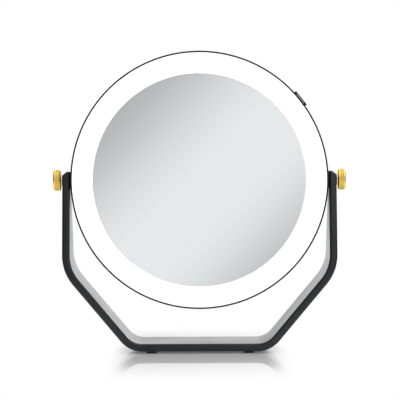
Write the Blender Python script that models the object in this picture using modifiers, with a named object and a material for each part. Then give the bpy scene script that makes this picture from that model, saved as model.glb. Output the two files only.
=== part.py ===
"""Two-sided lighted vanity mirror on a bent strap stand.

Metres, +Z up, front towards -Y. The origin is on the table, under the middle of the stand.
The head turns about the X axis at PIVOT_Z. Inside the head, radii are measured from the
head's own axis, which runs along Y through the pivots.
"""

import math

import bmesh
import bpy
from mathutils import Matrix, Vector

# ---- driving dimensions, in metres ----
GAP = 0.0003  # clearance between touching pieces

PIVOT_Z = 0.1629  # height of the tilt axis
HEAD_R = 0.1228  # outside of the rim hoop
HEAD_HALF = 0.0140  # half the head's depth
GLASS_R = 0.1014
GLASS_T = 0.0030
GLASS_RECESS = 0.0006  # glass face behind the rim's edge
LENS_RECESS = 0.0004  # diffuser face behind the rim's edge
LENS_T = 0.0026
REAR_GLASS_T = 0.0025
REAR_GLASS_SAG = 0.0055  # hollow of the magnifying glass

STRAP_T = 0.0073
BASE_HALF_DEPTH = 0.0380
LOWER_CORNER_X = 0.0667  # outer sharp corner of base bar and diagonal
UPPER_CORNER_X = 0.1297  # outer sharp corner of diagonal and arm
DIAGONAL_FROM_VERTICAL = math.radians(40.0)
LOWER_BEND_R = 0.0270
UPPER_BEND_R = 0.0450
ARM_X_AT_PIVOT = 0.1308  # outer face of an arm, which leans out a little
ARM_ABOVE_PIVOT = 0.0083
ARM_TIP_HALF = 0.0066  # half the arm's depth at its top
ARM_TIP_R = 0.0022
ARM_SHOULDER_R = 0.0300
ARM_CORNER_DX = 0.0040  # slope across the arm's outer top corner
ARM_CORNER_DZ = 0.0034
STRAP_EDGE_R = 0.0011

FOOT_LIFT = 0.0019  # the base bar's height above the table
FOOT_R = 0.0050
FOOT_T = 0.0030
FOOT_X = 0.0460
FOOT_Y = 0.0300

STUD_R = 0.0025
SLEEVE_R = 0.0035
SLEEVE_BORE_R = STUD_R + GAP
KNOB_R = 0.0099
KNOB_INNER_X = 0.1324
KNOB_OUTER_X = 0.1395
WASHER_R = 0.0057
WASHER_T = 0.00095
SPACER_R = 0.0086

SWITCH_ANGLE = math.radians(38.6)  # above +X, about the head's axis
SWITCH_LENGTH = 0.0166
SWITCH_WIDTH = 0.0080
SWITCH_PROUD = 0.0024  # how far the rocker stands out of the rim

LED_COUNT = 24
HEAD_SEGMENTS = 72
INNER_SEGMENTS = 48
PIN_SEGMENTS = 16
KNOB_SEGMENTS = 32
HOLE_SEGMENTS = 10
BEND_STEPS = 8
TIP_STEPS = 5

# ---- sizes that follow ----
RIM_LIP = 0.0012  # thickness of the rim's edge around a diffuser
RIM_WALL = 0.0024
RIM_INNER_R = HEAD_R - RIM_WALL
RIM_REBATE_R = HEAD_R - RIM_LIP
RIM_SHOULDER_Y = HEAD_HALF - LENS_RECESS - LENS_T - GAP
RIM_RIB = 0.0021
RIM_RIB_Y = 0.0015
RIM_RIB_T = 0.0015

PLATE_HALF = 0.0012
PLATE_R = RIM_INNER_R - 0.0005
SEAT_IN_R = 0.0970
SEAT_OUT_R = 0.1033
SEAT_Y = 0.0084
LENS_IN_R = GLASS_R + 0.0004
LENS_OUT_R = RIM_REBATE_R - GAP
PAD_IN_R = 0.0975
PAD_OUT_R = 0.1010

BOARD_T = 0.0016
BOARD_Y = PLATE_HALF + GAP  # a board's face next to the plate
LED_BOARD_IN_R = 0.1040
LED_BOARD_OUT_R = 0.1175
LED_R = 0.1070
LED_SIZE = 0.0028
LED_T = 0.0010

BOSS_IN_X = 0.1110
BOSS_OUT_X = 0.1196
BOSS_HALF_Y = 0.0055
BOSS_HALF_Z = 0.0066
LEAD_R = 0.0007
LEAD_Y = 0.0052

BLACK = (0.012, 0.012, 0.013)
WHITE = (0.86, 0.86, 0.85)
BRASS = (0.80, 0.55, 0.17)


# ---- helpers ----
def clear_scene():
    for obj in list(bpy.data.objects):
        bpy.data.objects.remove(obj)


def new_collection(name):
    collection = bpy.data.collections.new(name)
    bpy.context.scene.collection.children.link(collection)
    return collection


def new_material(name, colour, roughness, metallic=0.0):
    mat = bpy.data.materials.new(name)
    mat.use_nodes = True
    shader = mat.node_tree.nodes["Principled BSDF"]
    shader.inputs["Base Color"].default_value = (*colour, 1.0)
    shader.inputs["Roughness"].default_value = roughness
    shader.inputs["Metallic"].default_value = metallic
    return mat


def new_axis(name, location, parent=None):
    """An empty that marks a joint's axis."""
    empty = bpy.data.objects.new(name, None)
    empty.location = location
    empty.parent = parent
    PARTS.objects.link(empty)
    return empty


def add_part(name, mesh, mat, parent=None, location=(0, 0, 0), rotation=(0, 0, 0)):
    obj = bpy.data.objects.new(name, mesh)
    obj.location = location
    obj.rotation_euler = rotation
    obj.parent = parent
    if mat is None:
        CUTTERS.objects.link(obj)
        obj.hide_render = True
        obj.display_type = "WIRE"
    else:
        mesh.materials.append(mat)
        PARTS.objects.link(obj)
    return obj


def combine(obj, other, operation):
    mod = obj.modifiers.new(operation.lower(), "BOOLEAN")
    mod.operation = operation
    mod.solver = "EXACT"
    mod.object = other


def turned(name, profile, steps, mat, parent=None, rotation=(0, 0, 0), location=(0, 0, 0), closed=False):
    """Profile points (radius, height) run down the outer side; the height axis is local Z."""
    mesh = bpy.data.meshes.new(name)
    bm = bmesh.new()
    verts = [bm.verts.new((r, 0, z)) for r, z in profile]
    for a, b in zip(verts, verts[1:]):
        bm.edges.new((a, b))
    if closed:
        bm.edges.new((verts[-1], verts[0]))
    bm.to_mesh(mesh)
    bm.free()
    obj = add_part(name, mesh, mat, parent, location, rotation)
    screw = obj.modifiers.new("turn", "SCREW")
    screw.axis = "Z"
    screw.steps = steps
    screw.render_steps = steps
    screw.use_merge_vertices = True
    screw.merge_threshold = 0.00001
    return obj


def ring_profile(r_in, r_out, z_low, z_high):
    return [(r_out, z_high), (r_out, z_low), (r_in, z_low), (r_in, z_high)]


def disc_profile(radius, z_low, z_high):
    return [(0, z_high), (radius, z_high), (radius, z_low), (0, z_low)]


def box_bmesh(bm, low, high):
    low, high = Vector(low), Vector(high)
    size = Matrix.Diagonal((*(high - low), 1))
    bmesh.ops.create_cube(bm, size=1, matrix=Matrix.Translation((low + high) / 2) @ size)


def boxes(name, corners, mat, parent=None, location=(0, 0, 0), rotation=(0, 0, 0)):
    """One object of boxes, each given by its lowest and highest corners."""
    mesh = bpy.data.meshes.new(name)
    bm = bmesh.new()
    for low, high in corners:
        box_bmesh(bm, low, high)
    bm.to_mesh(mesh)
    bm.free()
    return add_part(name, mesh, mat, parent, location, rotation)


def bevelled(obj, width, segments=2):
    mod = obj.modifiers.new("edges", "BEVEL")
    mod.width = width
    mod.segments = segments
    mod.limit_method = "ANGLE"
    mod.angle_limit = math.radians(50)


def outline_solid(name, points, half_thickness, mat, parent=None, location=(0, 0, 0), rotation=(0, 0, 0)):
    """A flat outline in local XY, thick along local Z, as a mesh."""
    curve = bpy.data.curves.new(name + "_outline", "CURVE")
    curve.dimensions = "2D"
    curve.fill_mode = "BOTH"
    curve.extrude = half_thickness
    spline = curve.splines.new("POLY")
    spline.points.add(len(points) - 1)
    for point, (x, y) in zip(spline.points, points):
        point.co = (x, y, 0, 1)
    spline.use_cyclic_u = True
    return add_part(name, welded_mesh(name, curve), mat, parent, location, rotation)


def welded_mesh(name, curve):
    """The curve's mesh with its loose caps joined on."""
    guide = bpy.data.objects.new(name + "_guide", curve)
    CUTTERS.objects.link(guide)
    graph = bpy.context.evaluated_depsgraph_get()
    mesh = bpy.data.meshes.new_from_object(guide.evaluated_get(graph))
    mesh.name = name
    bpy.data.objects.remove(guide)
    bm = bmesh.new()
    bm.from_mesh(mesh)
    bmesh.ops.remove_doubles(bm, verts=bm.verts, dist=0.00001)
    bmesh.ops.recalc_face_normals(bm, faces=bm.faces)
    bm.to_mesh(mesh)
    bm.free()
    return mesh


def smooth(obj, degrees=30):
    obj.data.shade_smooth()
    if obj.modifiers:
        return
    obj.data.set_sharp_from_angle(angle=math.radians(degrees))


def along_y(obj_rotation=-math.pi / 2):
    """Rotation that lays local Z along +Y."""
    return (obj_rotation, 0, 0)


def outward(side):
    """Rotation that lays local Z along +X for side 1 and along -X for side -1."""
    return (0, side * math.pi / 2, 0)


def rim_turn(angle):
    """Rotation that lays local X along the rim's radius at an angle above +X."""
    return (0, -angle, 0)


def rim_point(angle, radius, y=0.0):
    return Vector((radius * math.cos(angle), y, radius * math.sin(angle)))


# ---- stand ----
def filleted(corners, radii, steps):
    """Points and left-hand normals along a polyline whose inner corners are rounded."""
    line = []
    for i, corner in enumerate(corners):
        here = Vector(corner)
        if i in (0, len(corners) - 1):
            other = Vector(corners[1 if i == 0 else i - 1])
            heading = (other - here if i == 0 else here - other).normalized()
            line.append((here, Vector((-heading.y, heading.x))))
            continue
        before = (here - Vector(corners[i - 1])).normalized()
        after = (Vector(corners[i + 1]) - here).normalized()
        turn = before.angle_signed(after) * -1
        radius = radii[i - 1]
        reach = radius * math.tan(abs(turn) / 2)
        start = here - before * reach
        centre = start + Vector((-before.y, before.x)) * radius
        for k in range(steps + 1):
            normal = Vector((-before.y, before.x))
            normal.rotate(Matrix.Rotation(turn * k / steps, 2))
            line.append((centre - normal * radius, normal))
    return line


def stand_outline():
    """The strap's edge line in XZ, outer side first, from the left arm's top to the right's."""
    bottom = FOOT_LIFT
    upper_z = bottom + (UPPER_CORNER_X - LOWER_CORNER_X) / math.tan(DIAGONAL_FROM_VERTICAL)
    lean = (ARM_X_AT_PIVOT - UPPER_CORNER_X) / (PIVOT_Z - upper_z)
    top_z = PIVOT_Z + ARM_ABOVE_PIVOT
    top_x = ARM_X_AT_PIVOT + lean * ARM_ABOVE_PIVOT
    right = [(LOWER_CORNER_X, bottom), (UPPER_CORNER_X, upper_z), (top_x, top_z)]
    corners = [(-x, z) for x, z in reversed(right)] + right
    radii = [UPPER_BEND_R, LOWER_BEND_R, LOWER_BEND_R, UPPER_BEND_R]
    line = filleted(corners, radii, BEND_STEPS)
    outer = [point for point, _ in line]
    inner = [point + normal * STRAP_T for point, normal in line]
    # Each arm's top is level, with a slope across its outer corner.
    slope_x = top_x - ARM_CORNER_DX
    outer[0] = Vector((-top_x, top_z - ARM_CORNER_DZ))
    outer[-1] = Vector((top_x, top_z - ARM_CORNER_DZ))
    inner[0].y = inner[-1].y = top_z
    return outer + [Vector((slope_x, top_z))] + inner[::-1] + [Vector((-slope_x, top_z))]


def stand_side_profile():
    """Side view in YZ: full depth up to the upper bends, then a straight taper to narrow tops."""
    upper_z = FOOT_LIFT + (UPPER_CORNER_X - LOWER_CORNER_X) / math.tan(DIAGONAL_FROM_VERTICAL)
    top_z = PIVOT_Z + ARM_ABOVE_PIVOT
    front = [(BASE_HALF_DEPTH, -FOOT_LIFT), (BASE_HALF_DEPTH, upper_z), (ARM_TIP_HALF, top_z)]
    corners = front + [(-y, z) for y, z in reversed(front)]
    radii = [ARM_SHOULDER_R, ARM_TIP_R, ARM_TIP_R, ARM_SHOULDER_R]
    return [point for point, _ in filleted(corners, radii, TIP_STEPS)]


def build_stand():
    black = new_material("stand_black", BLACK, 0.22)
    rubber = new_material("foot_rubber", (0.02, 0.02, 0.02), 0.8)
    nylon = new_material("sleeve_nylon", (0.75, 0.72, 0.65), 0.5)
    pale_brass = new_material("washer_brass", (0.78, 0.64, 0.42), 0.25, 1.0)

    stand = outline_solid(
        "stand_frame", stand_outline(), BASE_HALF_DEPTH + GAP, black, rotation=(math.pi / 2, 0, 0)
    )
    half_width = KNOB_OUTER_X
    side = outline_solid(
        "stand_side_cutter",
        stand_side_profile(),
        half_width,
        None,
        rotation=(math.pi / 2, 0, math.pi / 2),
    )
    combine(stand, side, "INTERSECT")
    bevelled(stand, STRAP_EDGE_R)

    for label, sign in (("left", -1), ("right", 1)):
        bore = turned(
            "arm_bore_cutter_" + label,
            disc_profile(SLEEVE_R + GAP, ARM_X_AT_PIVOT - 2 * STRAP_T, ARM_X_AT_PIVOT + STRAP_T),
            PIN_SEGMENTS,
            None,
            rotation=outward(sign),
            location=(0, 0, PIVOT_Z),
        )
        combine(stand, bore, "DIFFERENCE")
        sleeve = ring_profile(
            SLEEVE_BORE_R, SLEEVE_R, ARM_X_AT_PIVOT - STRAP_T + GAP, ARM_X_AT_PIVOT - GAP
        )
        at_pivot = {"rotation": outward(sign), "location": (0, 0, PIVOT_Z), "closed": True}
        smooth(turned("arm_bushing_" + label, sleeve, PIN_SEGMENTS, nylon, **at_pivot))
        washer_out = KNOB_INNER_X - GAP
        washer = ring_profile(SLEEVE_BORE_R, WASHER_R, washer_out - WASHER_T, washer_out)
        smooth(turned("knob_washer_" + label, washer, PIN_SEGMENTS, pale_brass, **at_pivot))

    foot_edge = 0.0004
    foot = [
        (0, FOOT_T),
        (FOOT_R, FOOT_T),
        (FOOT_R, foot_edge),
        (FOOT_R - foot_edge, 0),
        (0, 0),
    ]
    for depth_label, y in (("front", -FOOT_Y), ("rear", FOOT_Y)):
        for side_label, x in (("left", -FOOT_X), ("right", FOOT_X)):
            label = depth_label + "_" + side_label
            recess = turned(
                "foot_recess_cutter_" + label,
                disc_profile(FOOT_R + GAP, -FOOT_LIFT, FOOT_T + GAP),
                PIN_SEGMENTS,
                None,
                location=(x, y, 0),
            )
            combine(stand, recess, "DIFFERENCE")
            smooth(turned("foot_" + label, foot, PIN_SEGMENTS, rubber, location=(x, y, 0)))


# ---- head: shells, optics and boards ----
def head_turned(name, profile, steps, mat, closed=True):
    obj = turned(name, profile, steps, mat, HEAD_AXIS, along_y(), closed=closed)
    smooth(obj)
    return obj


def rim_boxes(name, angle, corners, mat):
    return boxes(name, corners, mat, HEAD_AXIS, rotation=rim_turn(angle))


def build_rim():
    black = new_material("rim_black", BLACK, 0.25)
    profile = [
        (HEAD_R, HEAD_HALF),
        (HEAD_R, -HEAD_HALF),
        (RIM_REBATE_R, -HEAD_HALF),
        (RIM_REBATE_R, -RIM_SHOULDER_Y),
        (RIM_INNER_R, -RIM_SHOULDER_Y),
        (RIM_INNER_R, RIM_RIB_Y),
        (RIM_INNER_R - RIM_RIB, RIM_RIB_Y),
        (RIM_INNER_R - RIM_RIB, RIM_RIB_Y + RIM_RIB_T),
        (RIM_INNER_R, RIM_RIB_Y + RIM_RIB_T),
        (RIM_INNER_R, RIM_SHOULDER_Y),
        (RIM_REBATE_R, RIM_SHOULDER_Y),
        (RIM_REBATE_R, HEAD_HALF),
    ]
    hoop = head_turned("rim_hoop", profile, HEAD_SEGMENTS, black)
    for label, sign in (("left", -1), ("right", 1)):
        hole = turned(
            "rim_pivot_cutter_" + label,
            disc_profile(SPACER_R + GAP, BOSS_IN_X, HEAD_R + RIM_WALL),
            PIN_SEGMENTS,
            None,
            HEAD_AXIS,
            outward(sign),
        )
        combine(hoop, hole, "DIFFERENCE")
    combine(hoop, SWITCH_SLOT, "DIFFERENCE")
    combine(hoop, SOCKET_SLOT, "DIFFERENCE")


def lens_profile(side):
    """A flat opal ring with a skirt on its inner edge; side 1 is the rear, -1 the front."""
    face = HEAD_HALF - LENS_RECESS
    back = face - LENS_T
    skirt_y = SEAT_Y + GAP
    points = [
        (LENS_OUT_R, face),
        (LENS_OUT_R, back),
        (SEAT_OUT_R, back),
        (SEAT_OUT_R, skirt_y),
        (LENS_IN_R, skirt_y),
        (LENS_IN_R, face),
    ]
    if side > 0:
        return points
    return [(r, -y) for r, y in reversed(points)]


def hollow_y(radius):
    """Depth of the magnifying glass's face, a shallow part of a sphere."""
    sphere_r = (GLASS_R**2 + REAR_GLASS_SAG**2) / (2 * REAR_GLASS_SAG)
    lowest = HEAD_HALF - GLASS_RECESS - REAR_GLASS_SAG
    return lowest + sphere_r - math.sqrt(sphere_r**2 - radius**2)


def build_optics():
    opal = new_material("lens_opal", (0.95, 0.95, 0.94), 0.3)
    silver = new_material("mirror_glass", (0.86, 0.87, 0.88), 0.02, 1.0)
    foam = new_material("foam_white", (0.7, 0.7, 0.7), 0.9)

    head_turned("front_diffuser", lens_profile(-1), HEAD_SEGMENTS, opal)
    head_turned("rear_diffuser", lens_profile(1), HEAD_SEGMENTS, opal)

    face = HEAD_HALF - GLASS_RECESS
    flat = disc_profile(GLASS_R, -face, -face + GLASS_T)
    head_turned("front_mirror", flat, HEAD_SEGMENTS, silver, closed=False)

    steps = 4
    hollow = [(GLASS_R * k / steps, hollow_y(GLASS_R * k / steps)) for k in range(steps + 1)]
    behind = [(r, y - REAR_GLASS_T) for r, y in reversed(hollow)]
    head_turned("rear_mirror", hollow + behind, HEAD_SEGMENTS, silver, closed=False)

    pad_y = SEAT_Y + GAP
    front_pad = ring_profile(PAD_IN_R, PAD_OUT_R, -(face - GLASS_T - GAP), -pad_y)
    head_turned("front_mirror_pad", front_pad, INNER_SEGMENTS, foam)
    rear_pad_top = hollow_y(PAD_IN_R) - REAR_GLASS_T - GAP
    rear_pad = ring_profile(PAD_IN_R, PAD_OUT_R, pad_y, rear_pad_top)
    head_turned("rear_mirror_pad", rear_pad, INNER_SEGMENTS, foam)


def build_chassis():
    white = new_material("chassis_white", WHITE, 0.5)
    profile = [
        (0, PLATE_HALF),
        (SEAT_IN_R, PLATE_HALF),
        (SEAT_IN_R, SEAT_Y),
        (SEAT_OUT_R, SEAT_Y),
        (SEAT_OUT_R, PLATE_HALF),
        (PLATE_R, PLATE_HALF),
    ]
    profile += [(r, -y) for r, y in reversed(profile)]
    plate = head_turned("chassis_plate", profile, INNER_SEGMENTS, white, closed=False)

    for label, sign in (("left", -1), ("right", 1)):
        ends = sorted((sign * BOSS_IN_X, sign * BOSS_OUT_X))
        boss = boxes(
            "boss_cutter_" + label,
            [((ends[0], -BOSS_HALF_Y, -BOSS_HALF_Z), (ends[1], BOSS_HALF_Y, BOSS_HALF_Z))],
            None,
            HEAD_AXIS,
        )
        combine(plate, boss, "UNION")
        bore = turned(
            "boss_bore_cutter_" + label,
            disc_profile(SLEEVE_R + GAP, BOSS_IN_X + 0.0012, HEAD_R),
            PIN_SEGMENTS,
            None,
            HEAD_AXIS,
            outward(sign),
        )
        combine(plate, bore, "DIFFERENCE")
    combine(plate, SWITCH_NOTCH, "DIFFERENCE")
    for cutter in lead_holes():
        combine(plate, cutter, "DIFFERENCE")
    for cutter in screw_pilots():
        combine(plate, cutter, "DIFFERENCE")


def led_boxes(side):
    """Blocks around the ring that stand on the board's outer face and reach a little into it."""
    reach = BOARD_T / 2
    half = LED_SIZE / 2
    foot_y = BOARD_Y + BOARD_T - reach
    top_y = BOARD_Y + BOARD_T + LED_T
    ys = sorted((side * foot_y, side * top_y))
    mesh = bpy.data.meshes.new("led_blocks")
    bm = bmesh.new()
    for k in range(LED_COUNT):
        angle = 2 * math.pi * (k + 0.5) / LED_COUNT
        low = Vector((LED_R - half, ys[0], -half))
        high = Vector((LED_R + half, ys[1], half))
        size = Matrix.Diagonal((*(high - low), 1))
        turn = Matrix.Rotation(-angle, 4, "Y")
        bmesh.ops.create_cube(bm, size=1, matrix=turn @ Matrix.Translation((low + high) / 2) @ size)
    bm.to_mesh(mesh)
    bm.free()
    return mesh


def build_led_boards():
    board_white = new_material("led_board_white", (0.80, 0.80, 0.76), 0.45)
    for label, side in (("front", -1), ("rear", 1)):
        ys = sorted((side * BOARD_Y, side * (BOARD_Y + BOARD_T)))
        ring = ring_profile(LED_BOARD_IN_R, LED_BOARD_OUT_R, *ys)
        board = head_turned(label + "_led_board", ring, INNER_SEGMENTS, board_white)
        leds = add_part("led_cutter_" + label, led_boxes(side), None, HEAD_AXIS)
        combine(board, leds, "UNION")
        for sign in (-1, 1):
            ends = sorted((sign * (BOSS_IN_X - GAP), sign * HEAD_R))
            half_z = BOSS_HALF_Z + GAP
            notch = boxes(
                "board_notch_cutter",
                [((ends[0], -HEAD_HALF, -half_z), (ends[1], HEAD_HALF, half_z))],
                None,
                HEAD_AXIS,
            )
            combine(board, notch, "DIFFERENCE")
        combine(board, SWITCH_NOTCH, "DIFFERENCE")
        if side > 0:
            combine(board, SOCKET_NOTCH, "DIFFERENCE")


# ---- head: power and control ----
BATTERY_HALF_X = 0.0310
BATTERY_LOW_Z = -0.0420
BATTERY_HIGH_Z = -0.0040
BATTERY_T = 0.0055
CONTROL_HALF_X = 0.0250
CONTROL_LOW_Z = 0.0280
CONTROL_HIGH_Z = 0.0520
CHIP_T = 0.0014
CONNECTOR_HALF_X = 0.0030
CONNECTOR_HALF_Z = 0.0020
CONNECTOR_T = 0.0030
CONNECTOR_INSET = 0.0025  # a connector's middle from the board's edge
LEAD_PLUG_X = 0.0180
STRAP_SHEET = 0.0008
STRAP_HALF_Z = 0.0040
STRAP_TAB = 0.0085
SCREW_R = 0.0010
SCREW_HEAD_R = 0.0019
SCREW_HEAD_T = 0.0011
SOCKET_ANGLE = math.radians(-90)
SOCKET_HALF_W = 0.0045
SOCKET_LOW_Y = 0.0019
SOCKET_T = 0.0032
SOCKET_IN_R = 0.1125
SWITCH_BODY_HALF = 0.0060
SWITCH_BODY_HALF_Y = 0.0030
SWITCH_BODY_IN_R = 0.1125


def strap_screw_x():
    return BATTERY_HALF_X + GAP + STRAP_SHEET + STRAP_TAB / 2


def battery_middle_z():
    return (BATTERY_LOW_Z + BATTERY_HIGH_Z) / 2


def screw_places():
    """Name, x, z and the depth of the face that each screw's head bears on."""
    inset = 0.0030
    strap_y = BOARD_Y + STRAP_SHEET
    board_y = BOARD_Y + BOARD_T
    return [
        ("strap_screw_left", -strap_screw_x(), battery_middle_z(), strap_y),
        ("strap_screw_right", strap_screw_x(), battery_middle_z(), strap_y),
        ("board_screw_left", -CONTROL_HALF_X + inset, CONTROL_LOW_Z + inset, board_y),
        ("board_screw_right", CONTROL_HALF_X - inset, CONTROL_HIGH_Z - inset, board_y),
    ]


def screw_pilots():
    pilots = []
    for name, x, z, _ in screw_places():
        profile = disc_profile(SCREW_R + GAP, -2 * PLATE_HALF, 2 * PLATE_HALF)
        pilots.append(
            turned(name + "_pilot_cutter", profile, HOLE_SEGMENTS, None, HEAD_AXIS, along_y(), (x, 0, z))
        )
    return pilots


def build_screws():
    steel = new_material("screw_steel", (0.55, 0.55, 0.56), 0.35, 1.0)
    for name, x, z, seat in screw_places():
        head_low = seat + GAP
        profile = [
            (0, PLATE_HALF - GAP),
            (SCREW_R, PLATE_HALF - GAP),
            (SCREW_R, -head_low),
            (SCREW_HEAD_R, -head_low),
            (SCREW_HEAD_R, -head_low - SCREW_HEAD_T),
            (0, -head_low - SCREW_HEAD_T),
        ]
        smooth(turned(name, profile, HOLE_SEGMENTS, steel, HEAD_AXIS, along_y(), (x, 0, z)))


def build_battery():
    cell = new_material("battery_wrap", (0.10, 0.16, 0.24), 0.4)
    sheet = new_material("strap_steel", (0.6, 0.6, 0.6), 0.35, 1.0)
    pack = boxes(
        "battery_pack",
        [
            (
                (-BATTERY_HALF_X, -BOARD_Y - BATTERY_T, BATTERY_LOW_Z),
                (BATTERY_HALF_X, -BOARD_Y, BATTERY_HIGH_Z),
            )
        ],
        cell,
        HEAD_AXIS,
    )
    bevelled(pack, 0.0012)
    leg_in = BATTERY_HALF_X + GAP
    leg_out = leg_in + STRAP_SHEET
    over = BOARD_Y + BATTERY_T + GAP
    tab_x = leg_out + STRAP_TAB
    foot = BOARD_Y + STRAP_SHEET
    right = [
        (leg_in, -over),
        (leg_in, -BOARD_Y),
        (tab_x, -BOARD_Y),
        (tab_x, -foot),
        (leg_out, -foot),
        (leg_out, -over - STRAP_SHEET),
    ]
    outline = right + [(-x, y) for x, y in reversed(right)]
    strap = outline_solid(
        "battery_strap", outline, STRAP_HALF_Z, sheet, HEAD_AXIS, (0, 0, battery_middle_z())
    )
    for sign in (-1, 1):
        hole = turned(
            "strap_hole_cutter",
            disc_profile(SCREW_R + GAP, -HEAD_HALF, 0),
            HOLE_SEGMENTS,
            None,
            HEAD_AXIS,
            along_y(),
            (sign * strap_screw_x(), 0, battery_middle_z()),
        )
        combine(strap, hole, "DIFFERENCE")


def component_blocks():
    """Two chips, an inductor and a lead connector at either end: middle x and z, half sizes, height."""
    connector_x = LEAD_PLUG_X
    connector = (CONNECTOR_HALF_X, CONNECTOR_HALF_Z, CONNECTOR_T)
    low_z = CONTROL_LOW_Z + CONNECTOR_INSET
    high_z = CONTROL_HIGH_Z - CONNECTOR_INSET
    return [
        (-0.0100, 0.0410, 0.0045, 0.0035, CHIP_T),
        (0.0040, 0.0360, 0.0025, 0.0025, CHIP_T),
        (0.0040, 0.0450, 0.0040, 0.0030, CONNECTOR_T),
        (connector_x, low_z, *connector),
        (-connector_x, high_z, *connector),
    ]


def build_control_board():
    green = new_material("board_green", (0.03, 0.16, 0.07), 0.45)
    face = BOARD_Y + BOARD_T
    sunk = face - BOARD_T / 2
    board = boxes(
        "control_board",
        [((-CONTROL_HALF_X, -face, CONTROL_LOW_Z), (CONTROL_HALF_X, -BOARD_Y, CONTROL_HIGH_Z))],
        green,
        HEAD_AXIS,
    )
    blocks = boxes(
        "component_cutter",
        [
            ((x - hx, -face - tall, z - hz), (x + hx, -sunk, z + hz))
            for x, z, hx, hz, tall in component_blocks()
        ],
        None,
        HEAD_AXIS,
    )
    combine(board, blocks, "UNION")
    for name, x, z, _ in screw_places()[2:]:
        hole = turned(
            name + "_hole_cutter",
            disc_profile(SCREW_R + GAP, -HEAD_HALF, 0),
            HOLE_SEGMENTS,
            None,
            HEAD_AXIS,
            along_y(),
            (x, 0, z),
        )
        combine(board, hole, "DIFFERENCE")


def build_socket():
    steel = new_material("socket_steel", (0.6, 0.6, 0.6), 0.3, 1.0)
    low, high = SOCKET_LOW_Y, SOCKET_LOW_Y + SOCKET_T
    mouth_r = HEAD_R - 0.0004
    socket = rim_boxes(
        "charge_socket",
        SOCKET_ANGLE,
        [((SOCKET_IN_R, low, -SOCKET_HALF_W), (mouth_r, high, SOCKET_HALF_W))],
        steel,
    )
    wall = 0.0004
    depth = 0.0065
    slot = rim_boxes(
        "socket_mouth_cutter",
        SOCKET_ANGLE,
        [
            (
                (mouth_r - depth, low + wall, -SOCKET_HALF_W + wall),
                (mouth_r + wall, high - wall, SOCKET_HALF_W - wall),
            )
        ],
        None,
    )
    combine(socket, slot, "DIFFERENCE")
    tongue_half_t = 0.0004
    tongue_half_w = 0.0026
    tongue_sunk = 0.0010
    middle = (low + high) / 2
    tongue = rim_boxes(
        "socket_tongue_cutter",
        SOCKET_ANGLE,
        [
            (
                (mouth_r - depth - wall, middle - tongue_half_t, -tongue_half_w),
                (mouth_r - tongue_sunk, middle + tongue_half_t, tongue_half_w),
            )
        ],
        None,
    )
    combine(socket, tongue, "UNION")


# ---- dimmer switch on the rim ----
SLEEVE_HALF_L = 0.00745
SLEEVE_HALF_W = 0.0035
ROCKER_HALF_L = 0.0064
ROCKER_HALF_W = 0.00225
ROCKER_END_GAP = 0.0005
FRAME_TOP_R = HEAD_R + SWITCH_PROUD - 0.0002
SLEEVE_DEPTH = 0.0040
ROCKER_AXIS_R = HEAD_R - 0.0010
TRUNNION_R = 0.0007
STRIP_HALF_L = 0.0056
STRIP_LOW_R = HEAD_R + 0.0004
STRIP_H = 0.0010
STRIP_T = 0.0006
STRIP_GAP = 0.0001


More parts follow.
